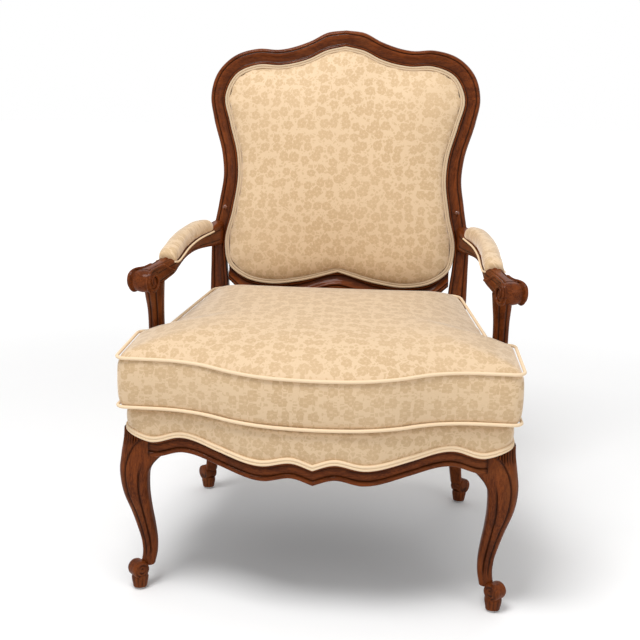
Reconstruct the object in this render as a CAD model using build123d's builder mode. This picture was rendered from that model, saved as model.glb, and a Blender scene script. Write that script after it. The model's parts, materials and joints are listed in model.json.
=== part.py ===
from build123d import *
import math
import os

os.makedirs("parts", exist_ok=True)

# French provincial armchair. Millimetres, +Z up, the sitter faces -Y, the floor is Z = 0.
# Right-hand pieces stand at +X as the chair is seen from the front; left ones mirror them.

# Seat frame, heights above the floor
rail_top = 309.0
post_top = 324.0
deck_top = 352.0
rail_face = 30.0
rail_thickness = 34.0
tongue_inset = 12.0
tongue_lap = 10.0
border_pad = 7.0
side_rail_end = 262.0
side_rail_arch = 270.0

# Seat frame, plan of the wood that shows
seat_front = -342.0
seat_shoulder = -294.0
seat_corner = -292.0
seat_back = 222.0
bow_half = 105.0
bow_end = 212.0
corner_half = 326.0
side_half = 328.0
side_y = -120.0
rear_half = 279.0
bow_radius = 240.0
corner_radius = 26.0
side_radius = 900.0
rear_radius = 10.0

# Front rail, lower edge of the border: half width and height above rail_top
apron_edge = [(360, 3), (331, 0), (285, -16), (232, -4.5), (160, -18), (85, -32), (34, -24), (0, -35)]

# Back frame, measured on its sloping front face
rake = 10.8
stile_front = 191.6
frame_depth = 33.0
inner_frame_width = 30.0
inner_frame_front = 8.0
inner_frame_depth = 16.0
fit = 0.2
back_edge_round = 8.0
crest_joint = 890.0
lower_rail_joint = 205.0
lower_rail_height = 40.0
lower_rail_middle = 480.0
rail_lap = 4.0
stile_lap = 6.0
stile_inner = 237.0

# Outer line of the back from the crest's middle down one side: half width and height
back_outer = [
    (0, 1034), (40, 1029), (78, 1010), (145, 991.5), (192, 993), (246, 976), (281, 940), (294, 890),
    (286, 842), (264, 762), (260, 722), (268, 660), (281, 575), (281, 520), (277, rail_top),
]
# Edge of the wood round the back pad, from the top middle down one side to the bottom middle
back_inner = [
    (0, 997), (40, 988), (80, 969), (140, 955.5), (190, 956), (237, 936), (260, 888), (248, 832),
    (229, 760), (226, 722), (236, 642), (250, 570), (240, 526), (205, 499), (150, 487), (84, 494), (0, 516),
]

# Front legs: height, reach along the outward diagonal in X and in Y, side of the section
front_foot = (318.0, -264.0)
front_leg_sections = [
    (316, -4, 45), (290, -3, 46), (262, 0, 48), (228, 3.5, 47), (190, 2, 43), (155, -4, 37),
    (118, -11, 32), (86, -15.5, 28), (62, -15.5, 26), (46, -13, 25),
]
leg_post = 36.0
leg_post_centre = (314.0, -262.0)

# Rear legs: height, centre and section
rear_foot = (287.0, 238.0)
rear_leg_sections = [
    (326, 257, 208, 39), (290, 257, 206, 40), (250, 258, 207, 41), (200, 262, 212, 37),
    (150, 267, 218, 33), (105, 272, 224, 29), (72, 276, 229, 26), (48, 279, 232, 25),
]

# Corner rounding of the legs, arms and supports as a share of their width
front_leg_round = 0.32
rear_leg_round = 0.28
arm_round = 0.28
support_round = 0.3

# Scroll feet and their glides
scroll_radius = 17.0
scroll_width = 31.0
scroll_height = 38.0
scroll_reach = 3.0
foot_pad_top = 24.0
foot_pad_radius = 15.0
foot_base_radius = 13.0
glide_radius = 10.0
glide_height = 4.0

# Arms: centre, width and height of the wood from the stile to the hand
arm_sections = [
    (266.5, 252, 593, 26, 54), (279, 192, 591, 33, 42), (296, 112, 588, 33, 32), (303, 22, 582, 33, 28),
    (304, -58, 571, 34, 28), (309, -118, 560, 36, 32), (320, -158, 554, 40, 38),
]
hand_centre = (327.0, -172.0, 553.0)
hand_turn = 18.0
hand_radius = 19.0
hand_roll = 30.0
volute_radius = 22.0
volute_width = 7.0

# Arm supports: height, centre and section across and along the chair
support_sections = [
    (288, 316, -120, 46, 56), (340, 317, -112, 40, 44), (400, 319, -104, 31, 36), (450, 321, -103, 28, 32),
    (490, 320, -112, 29, 32), (520, 318, -128, 33, 36), (546, 316, -141, 36, 40),
]

# Arm pads: depth, width, height and rise above the middle of the arm
pad_sections = [
    (196, 24, 14, 16), (186, 33, 26, 22), (150, 38, 32, 24), (90, 39, 32, 22), (20, 39, 32, 20),
    (-50, 39, 31, 18), (-96, 38, 27, 17), (-112, 36, 18, 17),
]
pad_welt_height = 5.0
pad_welt_proud = 1.5
pad_welt_span = range(2, 7)
pad_roundness = 0.5

# Soft seat cushion with ears in front of the arm supports
cushion_front = -356.0
cushion_corner = -314.0
cushion_back = 190.0
cushion_half = 336.0
cushion_bow = 110.0
cushion_bow_end = 220.0
cushion_shoulder = -312.0
ear_back = -150.0
notch_back = -142.0
notch_half = 293.0
cushion_rear_half = 256.0
cushion_bow_radius = 260.0
ear_front_radius = 20.0
ear_back_radius = 14.0
notch_radius = 8.0
cushion_rear_radius = 28.0
cushion_base = 352.4
cushion_tilt = 4.2
cushion_wall = 4.0
cushion_gap = 0.5
cushion_welt = 6.0
# Height of the front edge, share of the tilt, growth of the outline, scale of the crown
cushion_levels = [
    (0.0, 0.0, -9.0, 1.0), (5.0, 0.05, -1.5, 1.0), (26.0, 0.25, 2.5, 1.0), (48.0, 0.5, 4.0, 1.0),
    (70.0, 0.75, 2.5, 1.0), (88.0, 1.0, -1.5, 1.0), (104.0, 1.0, -3.0, 0.92), (119.0, 1.0, -3.0, 0.76),
    (128.0, 1.0, -3.0, 0.5),
]
# Height of the front edge and share of the tilt at the two welts
welt_levels = [(5.0, 0.05), (88.0, 1.0)]
welt_grow = 2.0
zip_length = 360.0
zip_height = 22.0
zip_level = 46.0
zip_share = 0.5
zip_sink = 1.2
slider_gap = 0.3
slider_start = 12.0
zip_tape = 2.0
slider_size = (9.0, 5.0, 14.0)

# Springs, webbing and covers
spring_wire = 3.6
spring_width = 50.0
spring_pitch = 26.0
spring_bend = 10.0
spring_columns = [-200, -100, 0, 100, 200]
clip_size = (18.0, 16.0, 8.0)
clip_margin = 9.0
sheet_thickness = 1.5
webbing_width = 50.0
cross_bands = [(226, 600), (206, 700), (215, 800), (236, 890)]
upright_bands = [(-125, 505, 948), (0, 530, 985), (125, 505, 948)]
dowel_diameter = 8.0
dowel_length = 38.0
dowel_clearance = 0.2
screw_diameter = 4.5
screw_length = 46.0
screw_level = 296.0
screw_sink = 2.0
block_low = 272.0
block_leg = 62.0
welt_width = 9.0
welt_height = 6.0
deck_round = 10.0
deck_welt_proud = 4.0
# Back pad: height above the sloping face, scale of its outline
pad_levels = [(4, 1.0), (14, 0.985), (24, 0.94), (32, 0.82), (37, 0.62), (39, 0.36)]
plug_diameter = 9.0
plug_height = 655.0
plug_half = 251.0
plug_proud = 2.0

rail_end_x = corner_half - rail_thickness
rail_end_y = seat_corner + rail_thickness
slope = math.tan(math.radians(rake))
climb = math.cos(math.radians(rake))
back_face = Plane(
    origin=(0, stile_front, rail_top), x_dir=(1, 0, 0), z_dir=(0, -climb, math.sin(math.radians(rake)))
)


def save(piece, name):
    """Label a finished piece and write it."""
    piece.part.label = name
    export_step(piece.part, f"parts/{name}.step")


def both_sides(half):
    """Complete a half line that starts on the middle by its mirror image."""
    return [(-x, z) for x, z in reversed(half[1:])] + half


def on_back(points):
    """Turn widths and heights above the floor into places on the sloping back face."""
    return [(x, (z - rail_top) / climb) for x, z in points]


def back_y(height):
    """Depth of the back's front face at a height above the floor."""
    return stile_front + (height - rail_top) * slope


def seat_outline(grow):
    """Plan outline of the seat frame, grown outwards by a distance."""
    half = [
        (bow_half, seat_front, bow_radius),
        (bow_end, seat_shoulder, bow_radius),
        (corner_half, seat_corner, corner_radius),
        (side_half, side_y, side_radius),
        (rear_half, seat_back, rear_radius),
    ]
    corners = half + [(-x, y, r) for x, y, r in reversed(half)]
    with BuildSketch() as outline:
        with BuildLine():
            FilletPolyline(*[(x, y) for x, y, r in corners], radius=[r for x, y, r in corners], close=True)
        make_face()
        if grow:
            offset(amount=grow)
    return outline.sketch


def apron_band(low, high):
    """Front view band that follows the border's lower edge, between two distances from it."""
    upper = both_sides([(x, rail_top + d + high) for x, d in reversed(apron_edge)])
    lower = both_sides([(x, rail_top + d + low) for x, d in reversed(apron_edge)])
    with BuildSketch() as band:
        with BuildLine():
            Spline(*upper)
            Line(upper[-1], lower[-1])
            Spline(*lower)
            Line(upper[0], lower[0])
        make_face()
    return band.sketch


def moved_out(half, grow):
    """Move the points of a half line outwards, square to it, with its ends kept on the middle."""
    moved = []
    for index, (x, z) in enumerate(half):
        before = half[index - 1] if index else (-half[1][0], half[1][1])
        after = half[index + 1] if index + 1 < len(half) else (-half[-2][0], half[-2][1])
        along = Vector(after[0] - before[0], after[1] - before[1]).normalized()
        moved.append((x - along.Y * grow, z + along.X * grow))
    return moved


def back_opening(grow, scale_to=1.0):
    """Outline of the back pad on the sloping face, grown by a distance and scaled about its middle."""
    right = moved_out(on_back(back_inner), grow)
    loop = right + [(-x, v) for x, v in reversed(right[1:-1])]
    middle = (right[0][1] + right[-1][1]) / 2
    with BuildSketch() as outline:
        with BuildLine():
            Spline(*[(x * scale_to, middle + (v - middle) * scale_to) for x, v in loop], periodic=True)
        make_face()
    return outline.sketch


def cushion_outline(grow, scale_to):
    """Plan outline of the seat cushion with its two ears, grown by a distance."""
    half = [
        (cushion_bow, cushion_front - grow, cushion_bow_radius),
        (cushion_bow_end, cushion_shoulder - grow, cushion_bow_radius),
        (cushion_half + grow, cushion_corner - grow, ear_front_radius),
        (cushion_half + grow, ear_back + grow, ear_back_radius),
        (notch_half + grow, notch_back + grow, notch_radius),
        (cushion_rear_half + grow, cushion_back + grow, cushion_rear_radius),
    ]
    corners = half + [(-x, y, r) for x, y, r in reversed(half)]
    middle = (cushion_front + cushion_back) / 2
    spots = [(x * scale_to, middle + (y - middle) * scale_to) for x, y, r in corners]
    with BuildSketch() as outline:
        with BuildLine():
            FilletPolyline(*spots, radius=[r * scale_to for x, y, r in corners], close=True)
        make_face()
    return outline.sketch


def cushion_plane(level, share):
    """Plane of the cushion at a height of its front edge, tilted by a share of the full tilt."""
    tilt = math.radians(cushion_tilt * share)
    return Plane(
        origin=(0, cushion_front, cushion_base + level),
        x_dir=(1, 0, 0),
        z_dir=(0, -math.sin(tilt), math.cos(tilt)),
    )


def on_cushion(level, share, grow, scale_to):
    """Cushion outline placed on its plane."""
    plane = cushion_plane(level, share)
    outline = cushion_outline(grow, scale_to)
    return plane * Pos(0, -cushion_front, 0) * outline


def cushion_form(inset):
    """Loft of the cushion, set in by a distance all round."""
    total = cushion_levels[-1][0]
    sections = []
    for level, share, grow, scale_to in cushion_levels:
        height = inset + level * (total - 2 * inset) / total
        sections.append(on_cushion(height, share, grow - inset, scale_to))
    return loft(sections, ruled=True, mode=Mode.PRIVATE)


def diagonal_scroll(centre, turn):
    """Scroll foot with its small pad, rolled outwards along a plan direction in degrees."""
    outward = Vector(math.cos(math.radians(turn)), math.sin(math.radians(turn)), 0)
    across = Vector(-outward.Y, outward.X, 0)
    middle = Vector(centre[0], centre[1], scroll_height) + outward * scroll_reach
    with Locations(Plane(origin=middle, x_dir=outward, z_dir=across)):
        Cylinder(scroll_radius, scroll_width)
    with Locations((centre[0], centre[1], glide_height)):
        Cone(
            foot_base_radius, foot_pad_radius, foot_pad_top - glide_height,
            align=(Align.CENTER, Align.CENTER, Align.MIN),
        )


def bore(spots):
    """Cut dowel holes at a list of centres and directions."""
    for centre, along in spots:
        with Locations(Plane(origin=centre, z_dir=along)):
            Cylinder((dowel_diameter + dowel_clearance) / 2, dowel_length + 1, mode=Mode.SUBTRACT)


def bore_screws(spots):
    """Cut the pilot holes of the corner block screws."""
    for seat, along in spots:
        with Locations(Plane(origin=seat, z_dir=along)):
            Cylinder((screw_diameter + fit) / 2, 3 * screw_length, mode=Mode.SUBTRACT)


def mirrored_spots(spots):
    """The same dowels on the chair's left side."""
    flip = [(Vector(*c), Vector(*d)) for c, d in spots]
    return [(Vector(-c.X, c.Y, c.Z), Vector(-d.X, d.Y, d.Z)) for c, d in flip]


def arm_plane(index):
    """Section plane of the arm, square to its run."""
    before = Vector(*arm_sections[max(index - 1, 0)][:3])
    after = Vector(*arm_sections[min(index + 1, len(arm_sections) - 1)][:3])
    along = (after - before).normalized()
    across = Vector(0, 0, 1).cross(along).normalized()
    return Plane(origin=arm_sections[index][:3], x_dir=across, z_dir=along)


def arm_middle(y):
    """Centre of the arm at a depth, between its sections."""
    for near, far in zip(arm_sections[1:], arm_sections):
        if near[1] <= y <= far[1]:
            share = (far[1] - y) / (far[1] - near[1])
            return [far[i] + (near[i] - far[i]) * share for i in range(3)]
    raise ValueError("the arm pad runs past the arm")


def pad_plane(index, rise):
    """Section plane of the arm pad, raised above the arm's middle."""
    y = pad_sections[index][0]
    here = Vector(*arm_middle(y))
    along = (Vector(*arm_middle(y - 8)) - Vector(*arm_middle(y + 8))).normalized()
    across = Vector(0, 0, 1).cross(along).normalized()
    up = along.cross(across)
    return Plane(origin=here + up * rise, x_dir=across, z_dir=along)


def rail_line(x):
    """Depth of the front rail's face at a place across the chair."""
    share = min(max((abs(x) - bow_half) / (bow_end - bow_half), 0), 1)
    return seat_front + (seat_shoulder - seat_front) * share


def side_inner(y):
    """Inner face of a side rail at a depth."""
    near, far = ((corner_half, seat_corner), (side_half, side_y)) if y < side_y else (
        (side_half, side_y), (rear_half, seat_back))
    along = Vector(far[0] - near[0], far[1] - near[1]).normalized()
    face = near[0] + (y - near[1]) * (far[0] - near[0]) / (far[1] - near[1])
    return face - rail_thickness / along.Y


# Dowels of each joint on the right: centre and direction
joint_height = (283.0, 309.0)
crest_spot = back_face.from_local_coords((0, (crest_joint - rail_top) / climb, -frame_depth / 2))
crest_dowels = [((x, crest_spot.Y, crest_spot.Z), tuple(back_face.y_dir)) for x in (266.0, 282.0)]
lower_dowels = [
    ((lower_rail_joint, back_y(z) + frame_depth / 2 / climb, z), (1, 0, 0)) for z in (466.0, 485.0)
]
front_rail_dowels = [((295.0, -270.0, z), (1, 0, 0)) for z in joint_height]
side_front_dowels = [((304.0, -241.0, z), (0, 1, 0)) for z in joint_height]
side_rear_dowels = [((263.0, stile_front, z), (0, 1, 0)) for z in joint_height]
rear_rail_dowels = [((stile_inner - 2, 215.0, z), (1, 0, 0)) for z in (290.0, 312.0)]
support_dowels = [((312.0, -120.0, 292.0), (0, 0, 1))]
hand_dowels = [((319.0, -139.0, 538.0), (0, 0, 1))]
arm_dowels = [((265.0, back_y(593) + 1, z), (0, 1, 0)) for z in (580.0, 604.0)]
leg_dowels = front_rail_dowels + side_front_dowels

# Corner blocks on the right: inner corner of the rails, and which way along Y the block lies
rear_inner_y = seat_back - rail_thickness
block_corners = [((rail_end_x, rail_end_y), 1), ((side_inner(rear_inner_y), rear_inner_y), -1)]
block_height = post_top - block_low - tongue_inset
screw_spots = []
for (x, y), reach in block_corners:
    outward = Vector(1, -reach, 0).normalized()
    seat = Vector(x - block_leg / 2, y + reach * block_leg / 2, screw_level)
    screw_spots.append((seat + outward * screw_sink, outward))

stile_dowels = crest_dowels + lower_dowels + side_rear_dowels + rear_rail_dowels + arm_dowels

# Back frame before it is cut into its rails and stiles
with BuildPart() as back_blank:
    with BuildSketch(back_face):
        outer = on_back(both_sides(back_outer))
        rise = [(x, z - lower_rail_height) for x, z in reversed(back_inner[-3:])]
        under = on_back(both_sides(rise + [(stile_inner, back_inner[-4][1] - lower_rail_height + 3)]))
        foot = on_back([(stile_inner, rail_top)])[0]
        with BuildLine():
            Spline(*outer)
            Polyline(outer[-1], foot, under[-1])
            Spline(*under)
            Polyline(under[0], (-foot[0], foot[1]), outer[0])
        make_face()
        add(back_opening(0), mode=Mode.SUBTRACT)
    extrude(amount=-frame_depth)
    outer_edges = edges().filter_by(GeomType.BSPLINE).sort_by(Axis.Z)[-2:]
    fillet(outer_edges, radius=back_edge_round)

crest_plane = Plane(origin=crest_spot, z_dir=back_face.y_dir)
lower_rail_zone = Pos(0, back_y(lower_rail_middle), lower_rail_middle) * Box(
    2 * lower_rail_joint, 6 * frame_depth, 3 * lower_rail_height
)

with BuildPart() as crest_rail:
    add(back_blank.part)
    split(bisect_by=crest_plane, keep=Keep.TOP)
    bore(crest_dowels + mirrored_spots(crest_dowels))
save(crest_rail, "crest_rail")

with BuildPart() as back_lower_rail:
    add(back_blank.part)
    add(lower_rail_zone, mode=Mode.INTERSECT)
    bore(lower_dowels + mirrored_spots(lower_dowels))
save(back_lower_rail, "back_lower_rail")

with BuildPart() as stile_right:
    add(back_blank.part)
    split(bisect_by=crest_plane, keep=Keep.BOTTOM)
    split(bisect_by=Plane.YZ, keep=Keep.TOP)
    add(lower_rail_zone, mode=Mode.SUBTRACT)
    for height, x, y, side in rear_leg_sections:
        with BuildSketch(Plane.XY.offset(height)):
            with Locations((x, y)):
                RectangleRounded(side, side, side * rear_leg_round)
    loft()
    diagonal_scroll(rear_foot, 45)
    bore(stile_dowels)
    bore_screws(screw_spots[1:])
    with Locations(Plane(origin=(plug_half, back_y(plug_height), plug_height), z_dir=back_face.z_dir)):
        Cylinder(plug_diameter / 2, 2 * plug_diameter, mode=Mode.SUBTRACT)
save(stile_right, "stile_right")

with BuildPart() as stile_left:
    mirror(stile_right.part, about=Plane.YZ)
save(stile_left, "stile_left")

with BuildPart() as front_leg_right:
    for height, reach, side in front_leg_sections:
        with BuildSketch(Plane.XY.offset(height)):
            with Locations((front_foot[0] + reach, front_foot[1] - reach)):
                RectangleRounded(side, side, side * front_leg_round)
    loft()
    with BuildSketch(Plane.XZ):
        add(apron_band(0, 2 * rail_face))
    extrude(amount=rail_thickness - seat_front, mode=Mode.SUBTRACT)
    with BuildSketch(Plane.XY.offset(block_low)):
        with Locations(leg_post_centre):
            Rectangle(leg_post, leg_post)
    extrude(amount=post_top - block_low)
    diagonal_scroll(front_foot, -45)
    bore(leg_dowels)
    bore_screws(screw_spots[:1])
save(front_leg_right, "front_leg_right")

with BuildPart() as front_leg_left:
    mirror(front_leg_right.part, about=Plane.YZ)
save(front_leg_left, "front_leg_left")

with BuildPart() as arm_right:
    for index, (x, y, z, wide, high) in enumerate(arm_sections):
        with BuildSketch(arm_plane(index)):
            RectangleRounded(wide, high, wide * arm_round)
    loft()
    hand_axis = Vector(math.cos(math.radians(hand_turn)), math.sin(math.radians(hand_turn)), 0)
    with Locations(Plane(origin=hand_centre, x_dir=(0, 0, 1), z_dir=hand_axis)):
        Cylinder(hand_radius, hand_roll + 2 * volute_width)
    for side in (-1, 1):
        spot = Vector(*hand_centre) + hand_axis * side * (hand_roll + volute_width) / 2
        with Locations(Plane(origin=spot, x_dir=(0, 0, 1), z_dir=hand_axis)):
            Cylinder(volute_radius, volute_width)
    add(stile_right.part, mode=Mode.SUBTRACT)
    bore(hand_dowels + arm_dowels)
save(arm_right, "arm_right")

with BuildPart() as arm_left:
    mirror(arm_right.part, about=Plane.YZ)
save(arm_left, "arm_left")

with BuildPart() as arm_support_right:
    for height, x, y, wide, deep in support_sections:
        with BuildSketch(Plane.XY.offset(height)):
            with Locations((x, y)):
                RectangleRounded(wide, deep, wide * support_round)
    loft()
    add(arm_right.part, mode=Mode.SUBTRACT)
    bore(support_dowels + hand_dowels)
save(arm_support_right, "arm_support_right")

with BuildPart() as arm_support_left:
    mirror(arm_support_right.part, about=Plane.YZ)
save(arm_support_left, "arm_support_left")

# Seat rails: the wood that shows, and a tongue behind it that the padding covers
with BuildPart() as front_blank:
    with BuildSketch(Plane.XZ):
        add(apron_band(-rail_face, 0))
    extrude(amount=-seat_front + rail_thickness)
    with BuildSketch():
        add(seat_outline(0))
        add(seat_outline(-rail_thickness), mode=Mode.SUBTRACT)
    extrude(amount=post_top, mode=Mode.INTERSECT)

with BuildPart() as front_tongue:
    with BuildSketch(Plane.XZ):
        add(apron_band(-tongue_lap, 2 * rail_face))
    extrude(amount=-seat_front + rail_thickness)
    with BuildSketch():
        add(seat_outline(-tongue_inset))
        add(seat_outline(-rail_thickness), mode=Mode.SUBTRACT)
    extrude(amount=post_top, mode=Mode.INTERSECT)

with BuildPart() as front_rail:
    add(front_blank.part)
    add(front_tongue.part)
    split(bisect_by=Plane.XZ, keep=Keep.TOP)
    with Locations((0, seat_front, rail_top)):
        Box(2 * rail_end_x, rail_top, rail_top, mode=Mode.INTERSECT)
    add(front_leg_right.part, mode=Mode.SUBTRACT)
    add(front_leg_left.part, mode=Mode.SUBTRACT)
    bore(front_rail_dowels + mirrored_spots(front_rail_dowels))
    bore_screws(screw_spots[:1] + mirrored_spots(screw_spots[:1]))
save(front_rail, "front_rail")

with BuildPart() as side_blank:
    with BuildSketch(Plane.YZ):
        with BuildLine():
            ThreePointArc((rail_end_y, side_rail_end), (-10, side_rail_arch), (seat_back, side_rail_end))
            Polyline((seat_back, side_rail_end), (seat_back, rail_top), (rail_end_y, rail_top))
            Line((rail_end_y, rail_top), (rail_end_y, side_rail_end))
        make_face()
    extrude(amount=side_half + rail_thickness)
    with BuildSketch():
        add(seat_outline(0))
        add(seat_outline(-rail_thickness), mode=Mode.SUBTRACT)
    extrude(amount=post_top, mode=Mode.INTERSECT)

with BuildPart() as tongue_ring:
    with BuildSketch(Plane.XY.offset(rail_top - tongue_lap)):
        add(seat_outline(-tongue_inset))
        add(seat_outline(-rail_thickness), mode=Mode.SUBTRACT)
    extrude(amount=post_top - rail_top + tongue_lap)
    split(bisect_by=Plane.XZ.offset(-rail_end_y), keep=Keep.BOTTOM)

with BuildPart() as side_rail_right:
    add(side_blank.part)
    add(tongue_ring.part)
    split(bisect_by=Plane.YZ.offset(stile_inner + rail_lap), keep=Keep.TOP)
    split(bisect_by=Plane.XZ.offset(-stile_front - stile_lap), keep=Keep.TOP)
    add(front_leg_right.part, mode=Mode.SUBTRACT)
    add(stile_right.part, mode=Mode.SUBTRACT)
    add(arm_support_right.part, mode=Mode.SUBTRACT)
    bore(side_front_dowels + side_rear_dowels + support_dowels)
    bore_screws(screw_spots)
    add(solids().sort_by(SortBy.VOLUME)[-1], mode=Mode.REPLACE)
save(side_rail_right, "side_rail_right")

with BuildPart() as side_rail_left:
    mirror(side_rail_right.part, about=Plane.YZ)
save(side_rail_left, "side_rail_left")

with BuildPart() as rear_seat_rail:
    with BuildSketch(Plane.XY.offset(side_rail_end)):
        with Locations((0, seat_back - rail_thickness / 2)):
            Rectangle(2 * stile_inner + rail_lap, rail_thickness)
    extrude(amount=post_top - side_rail_end)
    add(stile_right.part, mode=Mode.SUBTRACT)
    add(stile_left.part, mode=Mode.SUBTRACT)
    bore(rear_rail_dowels + mirrored_spots(rear_rail_dowels))
    bore_screws(screw_spots[1:] + mirrored_spots(screw_spots[1:]))
save(rear_seat_rail, "rear_seat_rail")

right_dowels = leg_dowels + stile_dowels + support_dowels + hand_dowels
with BuildPart() as frame_dowels:
    for centre, along in right_dowels + mirrored_spots(right_dowels):
        with Locations(Plane(origin=centre, z_dir=along)):
            Cylinder(dowel_diameter / 2, dowel_length)
save(frame_dowels, "frame_dowels")

# Corner blocks are glued into the four corners and screwed to the legs
with BuildPart() as corner_blocks:
    for (x, y), reach in block_corners:
        tip = y + reach * block_leg
        with BuildSketch(Plane.XY.offset(block_low)):
            with BuildLine():
                Polyline((x, y), (x - block_leg, y), (side_inner(tip), tip), close=True)
            make_face()
        extrude(amount=block_height)
    mirror(about=Plane.YZ)
    for piece in (stile_right, stile_left):
        add(piece.part, mode=Mode.SUBTRACT)
    bore_screws(screw_spots + mirrored_spots(screw_spots))
save(corner_blocks, "corner_blocks")

with BuildPart() as corner_block_screws:
    for seat, along in screw_spots + mirrored_spots(screw_spots):
        with Locations(Plane(origin=seat, z_dir=along)):
            Cylinder(screw_diameter / 2, screw_length, align=(Align.CENTER, Align.CENTER, Align.MIN))
save(corner_block_screws, "corner_block_screws")

# Small trim of the wood frame
feet = [front_foot, rear_foot]
with BuildPart() as foot_glides:
    for x, y in feet:
        with Locations((x, y), (-x, y)):
            Cylinder(glide_radius, glide_height, align=(Align.CENTER, Align.CENTER, Align.MIN))
save(foot_glides, "foot_glides")

with BuildPart() as stile_plugs:
    for side in (-1, 1):
        spot = Vector(side * plug_half, back_y(plug_height), plug_height) + back_face.z_dir * plug_proud
        with Locations(Plane(origin=spot, z_dir=back_face.z_dir)):
            Cylinder(
                (plug_diameter - fit) / 2, plug_diameter + plug_proud,
                align=(Align.CENTER, Align.CENTER, Align.MAX),
            )
save(stile_plugs, "stile_plugs")

# Back upholstery: inner frame, webbing, pad, welts and outside panel
with BuildPart() as back_inner_frame:
    with BuildSketch(back_face.offset(-inner_frame_front)):
        add(back_opening(-fit))
        add(back_opening(-inner_frame_width), mode=Mode.SUBTRACT)
    extrude(amount=-inner_frame_depth)
save(back_inner_frame, "back_inner_frame")

pad_base = inner_frame_front - 2 * sheet_thickness - fit
with BuildPart() as back_webbing:
    for half, height in cross_bands:
        with BuildSketch(back_face.offset(-pad_base - sheet_thickness - fit)):
            with Locations(on_back([(0, height)])[0]):
                Rectangle(2 * half, webbing_width)
    extrude(amount=-sheet_thickness)
    for x, low, high in upright_bands:
        with BuildSketch(back_face.offset(-pad_base)):
            with Locations(on_back([(x, (low + high) / 2)])[0]):
                Rectangle(webbing_width, (high - low) / climb)
    extrude(amount=-sheet_thickness)
save(back_webbing, "back_webbing")

with BuildPart() as back_pad:
    for height, scale_to in [(-pad_base, 1.0)] + pad_levels:
        with BuildSketch(back_face.offset(height)):
            add(back_opening(-welt_width - fit, scale_to))
    loft()
save(back_pad, "back_pad")

with BuildPart() as back_welt:
    with BuildSketch(back_face.offset(-pad_base)):
        add(back_opening(-fit))
        add(back_opening(-welt_width), mode=Mode.SUBTRACT)
    extrude(amount=pad_base + welt_height)
save(back_welt, "back_welt")

rear_start = inner_frame_front + inner_frame_depth
with BuildPart() as outside_back:
    with BuildSketch(back_face.offset(-rear_start)):
        add(back_opening(-welt_width - fit))
    extrude(amount=-(frame_depth - rear_start))
save(outside_back, "outside_back")

with BuildPart() as outside_back_welt:
    with BuildSketch(back_face.offset(-rear_start)):
        add(back_opening(-fit))
        add(back_opening(-welt_width), mode=Mode.SUBTRACT)
    extrude(amount=-(frame_depth - rear_start + welt_height / 2))
save(outside_back_welt, "outside_back_welt")

# Arm pads, each with a narrow welt along its two lower edges
with BuildPart() as arm_pad_right:
    for index, (y, wide, high, rise) in enumerate(pad_sections):
        with BuildSketch(pad_plane(index, rise)):
            Rectangle(wide, high)
            fillet(vertices().sort_by(Axis.Y)[-2:], radius=high * pad_roundness)
    loft(ruled=True)
    add(arm_right.part, mode=Mode.SUBTRACT)
save(arm_pad_right, "arm_pad_right")

with BuildPart() as arm_pad_left:
    mirror(arm_pad_right.part, about=Plane.YZ)
save(arm_pad_left, "arm_pad_left")

with BuildPart() as arm_pad_welt_right:
    for side in (-1, 1):
        for index in pad_welt_span:
            y, wide, high, rise = pad_sections[index]
            with BuildSketch(pad_plane(index, rise - (high - pad_welt_height) / 2)):
                with Locations((side * (wide / 2 + fit + pad_welt_proud / 2), 0)):
                    Rectangle(pad_welt_proud, pad_welt_height)
        loft(ruled=True)
save(arm_pad_welt_right, "arm_pad_welt_right")

with BuildPart() as arm_pad_welt_left:
    mirror(arm_pad_welt_right.part, about=Plane.YZ)
save(arm_pad_welt_left, "arm_pad_welt_left")

# Seat: sagless springs on clips, their cover, the padded deck and the welt along its border
spring_level = post_top + clip_size[2] / 2
clip_inset = tongue_inset + clip_margin + clip_size[1] / 2
spring_rear = seat_back - clip_inset
spring_seats = [(x, rail_line(abs(x) + clip_size[0] / 2) + clip_inset) for x in spring_columns]
with BuildPart() as seat_springs:
    for x, front in spring_seats:
        bars = round((spring_rear - front) / spring_pitch)
        step = (spring_rear - front) / bars
        run = []
        for bar in range(bars + 1):
            side = spring_width / 2 if bar % 2 else -spring_width / 2
            run += [(x + side, front + bar * step), (x - side, front + bar * step)]
        with BuildLine(Plane.XY.offset(spring_level)) as wire:
            FilletPolyline(*run, radius=spring_bend)
        with BuildSketch(wire.line ^ 0):
            Circle(spring_wire / 2)
        sweep(path=wire.line)
save(seat_springs, "seat_springs")

with BuildPart() as spring_clips:
    for x, front in spring_seats:
        with Locations((x, front, spring_level), (x, spring_rear, spring_level)):
            Box(*clip_size)
            Cylinder(spring_wire / 2 + fit, 2 * clip_size[0], rotation=(0, 90, 0), mode=Mode.SUBTRACT)
save(spring_clips, "spring_clips")

cover_base = post_top + clip_size[2] + fit
frame_pieces = [
    front_rail, side_rail_right, side_rail_left, rear_seat_rail, front_leg_right, front_leg_left,
    stile_right, stile_left, arm_support_right, arm_support_left,
]
uprights = [stile_right, stile_left, arm_support_right, arm_support_left]
with BuildPart() as spring_cover:
    with BuildSketch(Plane.XY.offset(cover_base)):
        add(seat_outline(-rail_thickness / 2))
    extrude(amount=sheet_thickness)
    for piece in uprights:
        add(piece.part, mode=Mode.SUBTRACT)
save(spring_cover, "spring_cover")

# Space below the border's lower edge, and the space taken by the two stiles
with BuildPart() as below_border:
    with BuildSketch(Plane.XZ.offset(-rail_end_y)):
        add(apron_band(-rail_top, 0))
    extrude(amount=rail_thickness - seat_front)
    with Locations((0, rail_end_y, rail_top)):
        Box(
            3 * side_half, seat_back - 2 * seat_front, rail_top,
            align=(Align.CENTER, Align.MIN, Align.MAX),
        )

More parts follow.
